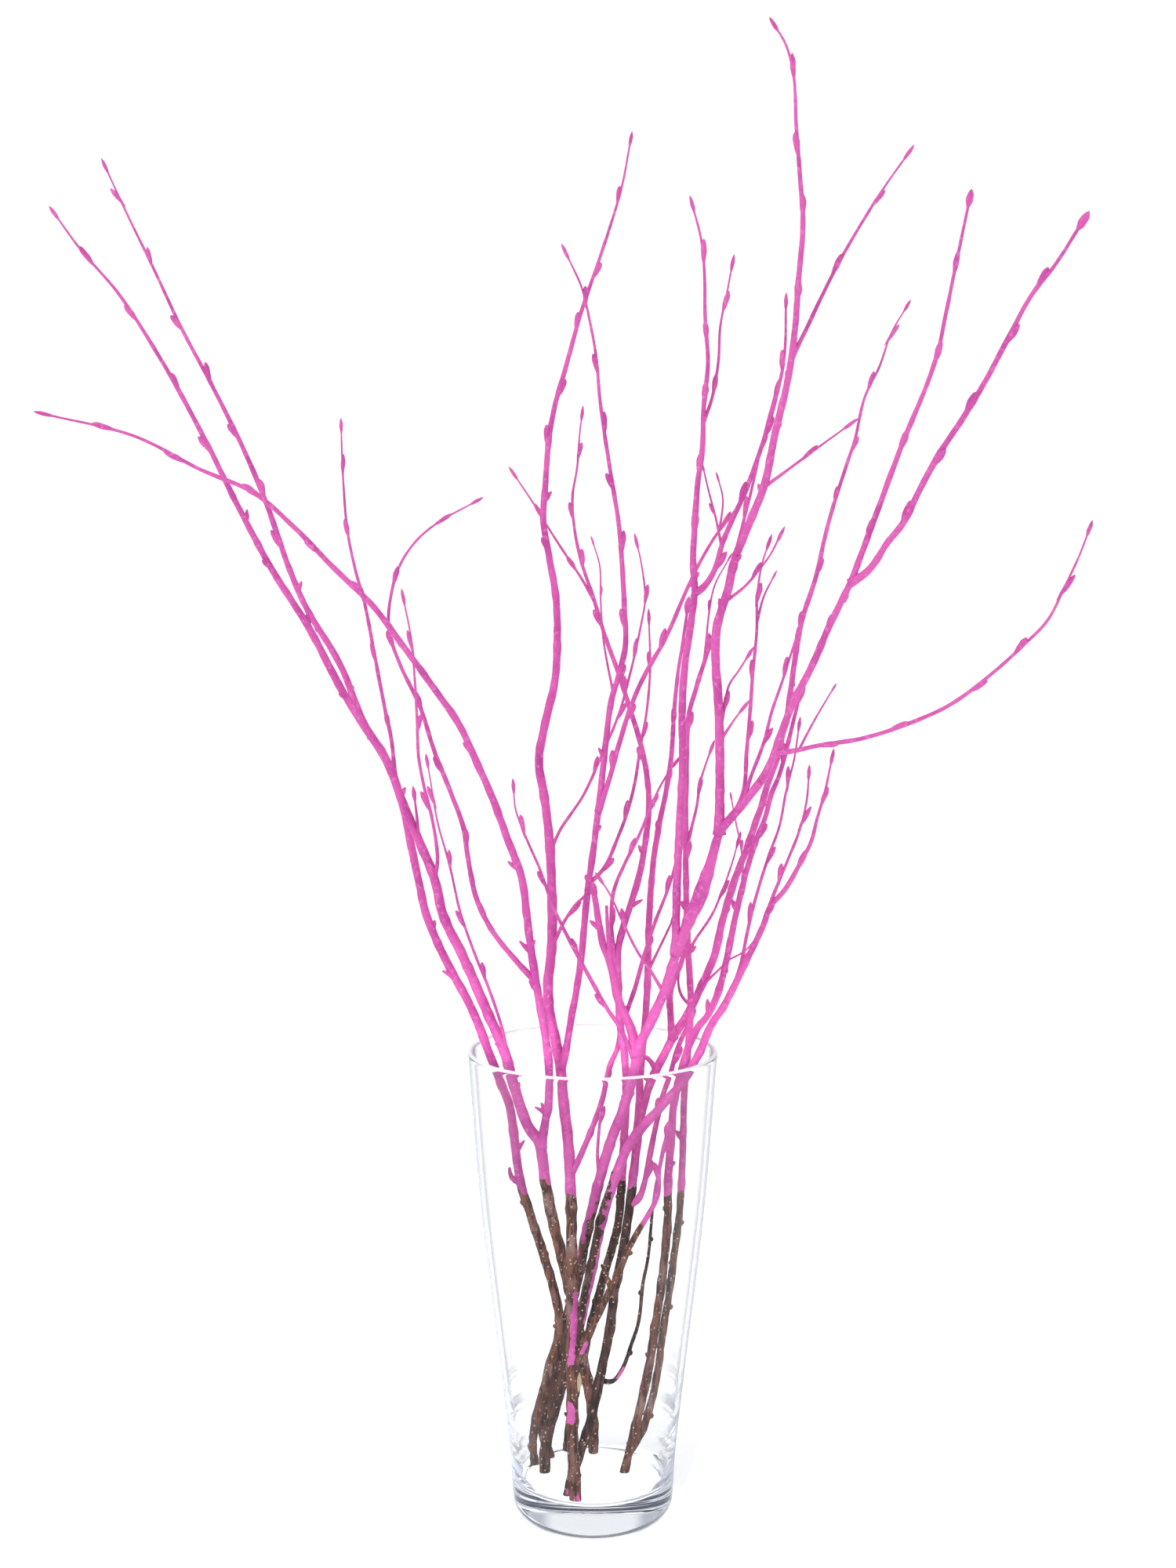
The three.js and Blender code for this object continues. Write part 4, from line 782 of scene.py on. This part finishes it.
# Twig 4
# The largest twig: it crosses to the right, swells into a knot, and branches again and again, up to
# the tallest tip and out to the farthest ones on the right.
grow_twig("twig_4", seed=104, shade=0.3, limbs={
    "stem": dict(bare=161, radii=(3, 0.6), taper=1.6, ragged=9.0, knot=(338, 15, 1.4), route=[
        (-23, 27, 23), (-26, 40, 21.5), (-27, 50, 21), (-25, 59, 22), (-18, 80, 23), (-13.8, 103, 21),
        (-10.8, 115, 20), (-7.5, 130, 17), (-4, 149, 11), (0, 166, 5), (3.5, 180, -1), (9, 200, -9),
        (16.4, 220, -17), (22, 240, -24), (24.5, 252, -29), (31, 266, -34), (38.2, 283, -38),
        (43.3, 300, -42), (49, 315.5, -46), (56, 332, -50), (62, 351, -54), (65.8, 364, -57.5),
        (72, 372, -62), (81.5, 383.5, -69), (90.5, 397, -77), (96.5, 413, -86), (102.5, 430, -94),
        (112.4, 449.5, -102), (121.2, 470, -110), (132, 493, -118), (138.7, 511, -122), (146.7, 533, -126),
        (158.3, 565, -131), (168.9, 591, -134), (174.6, 608, -136), (178.8, 629, -138), (182.8, 650, -140),
        (189.5, 684, -143)]),
    "outer_arm": dict(on="stem", radii=(1.5, 0.65), route=[
        (131.5, 492, -118), (141.3, 499, -122), (150.7, 513, -127), (158.7, 523, -131), (166.8, 540, -137),
        (176.8, 558.5, -143), (187.4, 574.5, -149), (199, 594, -156), (211, 617, -162), (221.7, 637, -166),
        (233.6, 652.5, -170), (246.5, 673, -174)]),
    "tall_arm": dict(on="stem", radii=(2.2, 0.45), route=[
        (65.3, 362, -57), (65.5, 374, -58.5), (65.6, 403, -61), (64.6, 430, -63), (63, 455, -65),
        (63.7, 470, -66), (69.4, 490, -67), (72.2, 503, -68), (79, 520.5, -70), (87.2, 541.5, -72.5),
        (92.5, 567, -76), (98.7, 594, -79), (102.3, 620, -82), (103.9, 645, -85), (105.8, 672, -88),
        (104.2, 695, -91), (102, 720, -94), (100.5, 745, -96.5), (96.5, 760, -98), (91, 769, -99)]),
    "tall_side_shoot": dict(on="tall_arm", radii=(0.95, 0.4), route=[
        (101, 604, -80.5), (107.2, 618.5, -80), (115.2, 635.5, -79), (124, 653, -78), (136.5, 674.5, -77),
        (147, 691, -76), (158, 706.5, -75)]),
    "tall_low_shoot": dict(on="tall_arm", radii=(0.7, 0.35), route=[
        (87.4, 541.5, -72.5), (93.6, 545.5, -73.5), (108.6, 556.5, -76), (130, 572, -79)]),
    "slant_shoot": dict(on="tall_arm", radii=(0.65, 0.4), route=[
        (67, 481, -66.5), (77.7, 490.5, -66), (84.6, 498.5, -65.5), (90.6, 506.5, -65), (95.5, 516, -65)]),
    "bent_shoot": dict(on="tall_arm", radii=(0.65, 0.4), route=[
        (65.6, 412, -62), (67.5, 427, -60.5), (70, 440, -60), (75, 447.5, -60), (80, 455.5, -61)]),
    "short_shoot": dict(on="tall_arm", radii=(0.6, 0.4), route=[
        (65.7, 410, -62), (73.7, 423.5, -66), (77.2, 428, -67)]),
    "mid_shoot": dict(on="stem", radii=(1, 0.4), route=[
        (74, 374, -63), (78, 386, -63), (79.3, 405, -61), (80.7, 423.5, -59), (82.2, 446, -56.5),
        (84, 467, -54), (84.2, 486, -52.5), (86.5, 502, -51.5), (89.7, 512, -51)]),
    "mid_side_shoot": dict(on="mid_shoot", radii=(0.55, 0.35), route=[
        (84.1, 473, -53.5), (87.6, 485.5, -52.5), (92.5, 495.5, -52)]),
    "parallel_shoot": dict(on="stem", radii=(0.9, 0.45), route=[
        (77.5, 379, -66.5), (81, 391, -67), (88, 410, -69), (92, 426, -70.5), (98, 444, -72),
        (105, 467, -73.5)]),
    "drooping_shoot": dict(on="stem", radii=(1.05, 0.4), route=[
        (94, 406, -82), (101, 405.8, -86), (117, 409, -90), (138.5, 412.5, -95), (160, 419.3, -100),
        (184, 430, -105), (206.3, 447, -110), (220.4, 460, -113), (233, 473, -116), (241.9, 491, -119),
        (249, 507, -121), (253.3, 519, -122)]),
    "needle_shoot": dict(on="drooping_shoot", radii=(0.5, 0.35), route=[
        (106.3, 406.5, -87.5), (114.4, 422.5, -90), (123.5, 438, -92)]),
    "middle_arm": dict(on="stem", radii=(2, 0.45), route=[
        (43.3, 300, -42), (43.2, 312, -44.5), (43.5, 330, -45), (44.3, 352, -46), (45.2, 375, -47),
        (46.4, 400, -48), (46, 428, -49.5), (47.2, 450, -51), (50, 470, -52.5), (52.2, 488, -53.5),
        (51.3, 502, -54), (52.2, 526, -55), (53.5, 544, -56), (55.7, 560, -57), (56.3, 581, -58.5),
        (58.3, 603, -60), (56.8, 625, -61.5), (56.2, 650, -63), (54.5, 665, -64), (50.2, 681, -65)]),
    "middle_right_arm": dict(on="middle_arm", radii=(1.3, 0.45), route=[
        (52, 486, -53.4), (56.5, 490, -54), (62, 498.5, -54.5), (66.6, 513.5, -55.5), (71, 524, -56),
        (77.5, 538, -57), (84.5, 557.5, -58.5), (92.8, 585, -60.5), (97, 606.5, -62), (97.6, 633, -64)]),
    "middle_side_shoot": dict(on="middle_arm", radii=(0.75, 0.35), route=[
        (56.2, 573, -58), (60.3, 585, -57.5), (63.5, 603, -56.5), (64.5, 622, -55.5), (67.5, 637, -54.5),
        (70.3, 652, -54)]),
    "back_slant_shoot": dict(on="middle_right_arm", radii=(0.55, 0.35), route=[
        (66, 512, -55.3), (62.5, 526, -53), (59, 539, -51.5), (56.3, 550, -50)]),
    "hook_shoot": dict(on="back_slant_shoot", radii=(0.45, 0.35), route=[
        (64.4, 519, -54.3), (65.8, 527, -53.5), (66.2, 536, -53), (63.8, 545, -52.5)]),
    "left_arm": dict(on="stem", radii=(2.3, 1.4), route=[
        (23, 247, -26.8), (19.4, 262, -27), (13.7, 275, -25.5), (9.6, 294, -22.5), (5.5, 305, -20),
        (3.6, 314, -18), (1.6, 326, -15.5), (0.5, 333, -14)]),
    "broken_shoot": dict(on="left_arm", blunt=True, radii=(1, 0.8), route=[
        (9.2, 295, -22.3), (8.3, 305, -22.8), (7.6, 315, -23.2), (7.1, 325.6, -23.5)]),
    "leaning_shoot": dict(on="stem", radii=(1.1, 0.35), route=[
        (22, 243, -25), (14, 261.5, -33), (7.7, 271, -36), (-2, 288.5, -38), (-11.7, 306.5, -40),
        (-20.8, 325.5, -41.5), (-27.2, 344, -42.5), (-33.9, 359.5, -43.5), (-40, 376, -44.5),
        (-41, 387, -45)]),
    "diagonal_shoot": dict(on="stem", radii=(0.75, 0.4), route=[
        (37, 280, -37.3), (30, 291.5, -41), (22.9, 302, -42), (15.8, 316.5, -43), (8.6, 332, -44),
        (4, 339, -44.5)]),
    "inner_shoot": dict(on="stem", radii=(0.85, 0.5), route=[
        (3.5, 180, -1), (2.4, 194, -6), (3.2, 206, -9), (5, 222, -10.5), (7.5, 236, -11)]),
})


# Twig 5
# A low twig that leans out over the right of the rim and ends in three short shoots.
# Its paint ends in clotted patches and a long run.
grow_twig("twig_5", seed=105, shade=0.75, limbs={
    "stem": dict(bare=160, radii=(3, 0.45), ragged=9.0, runs=[(100, 152, 0.3, 0.5)], route=[
        (-25.8, 20, 4), (-25.5, 33, 4.5), (-23.4, 46, 5.5), (-20, 57, 6.5), (-13.5, 80, 6.5),
        (-8, 100, 5.5), (-3.4, 120, 4), (1, 140, 2), (5, 160, -1.5), (10.5, 178, -5), (14.8, 190, -8),
        (20, 201, -10.8), (28, 211, -12.3), (34.3, 218, -13), (46.5, 232.5, -14.5), (55.7, 248, -17),
        (61.7, 262.5, -20), (68, 272, -22.3), (75, 286, -26), (83, 303, -31), (88.7, 315.5, -34.5),
        (92, 325, -37.5), (99.4, 333.5, -41), (106.6, 346, -46), (113, 359, -51), (116, 371, -54.5),
        (119.9, 385, -58), (123.3, 402, -62)]),
    "left_shoot": dict(on="stem", radii=(0.8, 0.4), route=[
        (90.5, 321, -36), (93.3, 330, -38.5), (100.4, 348, -43.5), (107.3, 366, -48), (110.6, 381, -51),
        (111.5, 394, -53)]),
    "back_shoot": dict(on="stem", radii=(0.9, 0.4), route=[
        (74, 284, -25.5), (77.5, 297, -23.5), (81, 315, -20.5), (85.2, 332, -17.5), (91.3, 352, -14.5),
        (96.5, 367, -12.3), (100, 386, -10), (104, 402.5, -8), (106.2, 419, -6.5)]),
})


# Twig 6
# A slim twig from the back of the floor, which winds up through the middle of the bundle.
# It carries two long thin shoots and no forks.
grow_twig("twig_6", seed=106, shade=0.75, limbs={
    "stem": dict(bare=181, radii=(2.3, 0.4), route=[
        (-14.3, 30, 30.5), (-12.9, 45, 30.5), (-10.4, 60, 30), (-6, 80, 28), (-1.6, 100, 24),
        (3.6, 120, 20), (9.2, 140, 16), (13.5, 158, 12), (15.1, 175, 8.5), (16, 195, 5), (17.2, 215, 2.5),
        (17.5, 232, 1), (16.3, 249, 0.5), (14, 265, 1), (13.2, 285, 4), (13.3, 303, 7), (16, 315, 10),
        (20.5, 329, 12.5), (24.5, 343, 14.5), (27.3, 360, 17), (29, 378, 20), (27.8, 394, 22.5),
        (24, 412, 26), (19.5, 426.5, 28.5), (13, 446.5, 32), (6.5, 464.5, 36), (0, 485.5, 40),
        (-6, 503.5, 44), (-9.6, 521, 48), (-10.4, 536, 51), (-8, 551, 54.5), (-6.8, 567, 58),
        (-5.6, 577, 60)]),
    "left_shoot": dict(on="stem", radii=(0.7, 0.4), route=[
        (0.4, 484, 39.7), (-6.5, 495.5, 43), (-14.5, 507.5, 47), (-21, 517.5, 50.5), (-30.9, 533.5, 55.5),
        (-40, 547, 59)]),
    "right_shoot": dict(on="stem", radii=(1.1, 0.4), route=[
        (13.3, 288, 4.5), (11.6, 296, 5.5), (10, 310, 6.5), (9.6, 322, 6.5), (11, 334, 4), (16, 346.5, 1),
        (24, 362.5, -2), (31, 380, -4), (38, 393.5, -5), (42.3, 399.5, -6)]),
})


# Twig 7
# Crosses behind the front twig to the right, with a long arm up the right side and shorter
# ones up the middle. Its bark is the darkest, and its lowest shoot is bare at the start.
grow_twig("twig_7", seed=107, shade=0.9, limbs={
    "stem": dict(bare=176, radii=(2.5, 0.4), runs=[(20.3, 23, 1.2, 1.2)], route=[
        (-14.3, 4, -26.5), (-10.5, 20, -23.5), (-6.8, 32, -21.3), (-1.8, 48, -18), (5.2, 80, -12),
        (9, 100, -9), (11.4, 120, -6), (15.6, 140, -2), (18.5, 160, 1), (21, 180, 5), (23, 197, 8),
        (24.6, 210, 10), (26.6, 220, 11), (29.7, 231, 12.6), (33.5, 239.6, 14.4), (38.3, 249, 17),
        (43, 258, 19.5), (49.2, 268, 22.3), (57.3, 285, 26), (63.5, 300, 30), (67, 316, 33),
        (70.9, 330.5, 36), (75.5, 344.6, 39), (79.3, 354, 41), (83.9, 368, 44), (87.6, 379, 46),
        (89.9, 388, 47.5), (93.3, 397.6, 49.3), (95.6, 404, 50.5), (97.8, 414.7, 52.3), (99.7, 421, 53.5),
        (101, 431, 55), (104, 455, 59), (107.5, 474, 62), (114, 495, 65), (118.4, 515, 68), (122, 529, 70),
        (128.8, 551, 73.5), (133.3, 565, 75.5), (138, 586, 78.5), (145.3, 601.5, 81), (151, 618, 83),
        (158.5, 631, 85)]),
    "back_arm": dict(on="stem", radii=(1.9, 0.7), route=[
        (24.2, 207, 9.6), (24.3, 222, 12), (25.3, 242, 14.5), (27.6, 268, 18.5), (28.6, 290, 21.5),
        (29, 311, 24), (30, 332, 27), (31.5, 350, 30), (34.4, 368, 33), (38, 386, 36), (40.6, 405, 39),
        (41.7, 424, 41.5), (43.7, 446, 44.5), (46.7, 466, 48), (48.6, 480, 50)]),
    "back_arm_shoot": dict(on="back_arm", radii=(0.7, 0.5), route=[
        (28.7, 291, 21.7), (34, 302, 22.5), (38, 310.5, 23.5), (42, 319, 25)]),
    "low_shoot": dict(
        on="stem", bare=168, radii=(1, 0.6), runs=[(79, 85, 1.4, 1.4), (93, 98, 1.2, 1.2)], route=[
        (3.3, 71.5, -13.4), (10, 71.3, -12), (14.5, 76, -10.8), (20.5, 92, -8), (24.2, 104, -6.8),
        (26.5, 125, -5), (29, 138, -4.5), (31, 160, -5), (31.7, 168, -6.3), (33.3, 179, -7.5),
        (36, 190, -8), (37.8, 198, -8)]),
    "side_shoot": dict(on="stem", radii=(1.5, 1.2), route=[
        (19.3, 167, 2.1), (24.5, 171, 2), (27, 178, 2.3), (29.4, 190, 3.2), (31.6, 202, 4.5),
        (34.2, 214, 7.5), (37.1, 226, 12), (40.2, 235, 16), (42.2, 243, 20), (45.4, 253.4, 25),
        (49.5, 262, 29), (51.5, 268, 31)]),
    "front_arm": dict(on="stem", radii=(1.8, 1), route=[
        (41.5, 255.5, 18.9), (40.9, 262, 14), (40.4, 270, 7.5), (40.2, 279, 1), (42.8, 288, -4),
        (46.5, 297, -9), (47.6, 308, -12)]),
    "front_stub": dict(on="stem", blunt=True, radii=(1.2, 0.9), route=[
        (33.6, 240, 14.5), (29.3, 244.6, 13), (26.6, 246.4, 12)]),
    "slim_twiglet": dict(on="stem", radii=(0.7, 0.5), route=[
        (51.3, 272, 23.3), (46.4, 278, 20), (44.6, 284.6, 16), (45, 291, 12), (46.8, 298, 8)]),
    "twiglet": dict(on="stem", radii=(0.6, 0.4), route=[
        (57.5, 284, 25.8), (64.7, 291, 23), (70.8, 297, 20.5), (78, 301, 18), (83.5, 306, 16)]),
})


# Twig 8
# Two stems on one foot by the right wall: one bends out low before it rises, the other stands
# tall in the middle.
grow_twig("twig_8", seed=108, shade=0.12, limbs={
    "stem": dict(bare=172, radii=(2.4, 0.5), route=[
        (15.6, 17, 3.8), (18.5, 29, 3.8), (21.3, 40, 3.8), (26, 60, 3.7), (30, 80, 3.4), (32.9, 100, 3),
        (36, 120, 2.3), (38, 140, 1.5), (39.5, 160, 0.5), (39.7, 180, -0.3), (41, 200, -1), (42.3, 220, -2),
        (46, 237, -3.8), (50, 251, -5), (54.6, 261, -6.2), (60, 268, -7.3), (65.3, 280, -9),
        (69.4, 296, -11), (72, 309, -13), (74.3, 321, -14.5), (77.5, 335, -16.5), (80.1, 345.4, -18),
        (84.7, 360, -20), (89.3, 372, -21), (92.2, 383.6, -22), (95.7, 392.2, -23), (98.3, 400.7, -24),
        (102, 416, -25), (105, 428.6, -26), (107.2, 438, -27), (112.4, 450, -28.5), (121.2, 470, -31),
        (129, 487, -33)]),
    "curled_shoot": dict(on="stem", radii=(0.55, 0.35), route=[
        (77, 334, -16.4), (77.6, 348, -19.5), (76.6, 357, -21), (74, 369, -22), (71.5, 382, -23)]),
    "second_stem": dict(on="stem", bare=172, radii=(2, 0.45), route=[
        (20.3, 36, 3.8), (25.6, 43, 4), (31.2, 60, 4.2), (35.2, 80, 4.4), (37.6, 100, 4.5),
        (40.6, 120, 4.6), (43.2, 140, 4.7), (45.7, 160, 4.8), (46.9, 180, 5), (47.6, 200, 5.4),
        (48.2, 228, 6), (49.6, 248, 6), (50.8, 265, 5), (51, 279, 4), (50, 296, 1.8), (48.8, 318, -1.8),
        (48.3, 340, -5.7), (48, 370, -10), (48.3, 400, -13), (49.3, 424, -15), (53, 438, -16),
        (58.7, 456.5, -18), (64.5, 473, -20), (69.5, 490, -22), (72.3, 505, -23.5), (76.5, 522, -25.2),
        (81, 540, -26.7), (87, 567, -29.5), (93, 590, -32)]),
    "budded_shoot": dict(on="second_stem", radii=(0.8, 0.45), route=[
        (48.1, 355, -8), (51, 366, -9.5), (54, 379, -11.5), (55.2, 389, -13), (58.5, 400, -14.8),
        (61, 407, -16)]),
    "slim_shoot": dict(on="second_stem", radii=(0.7, 0.35), route=[
        (49.6, 301, 0.9), (53.5, 308, -0.8), (61.7, 320.5, -4.5), (67.8, 335, -8), (72.5, 349, -10),
        (75.2, 359, -11)]),
    "upper_shoot": dict(on="second_stem", radii=(0.55, 0.35), route=[
        (57, 451, -17.3), (58.4, 466, -14.5), (60, 480.5, -12.8), (62.5, 491.5, -12), (69.5, 504.5, -11)]),
})
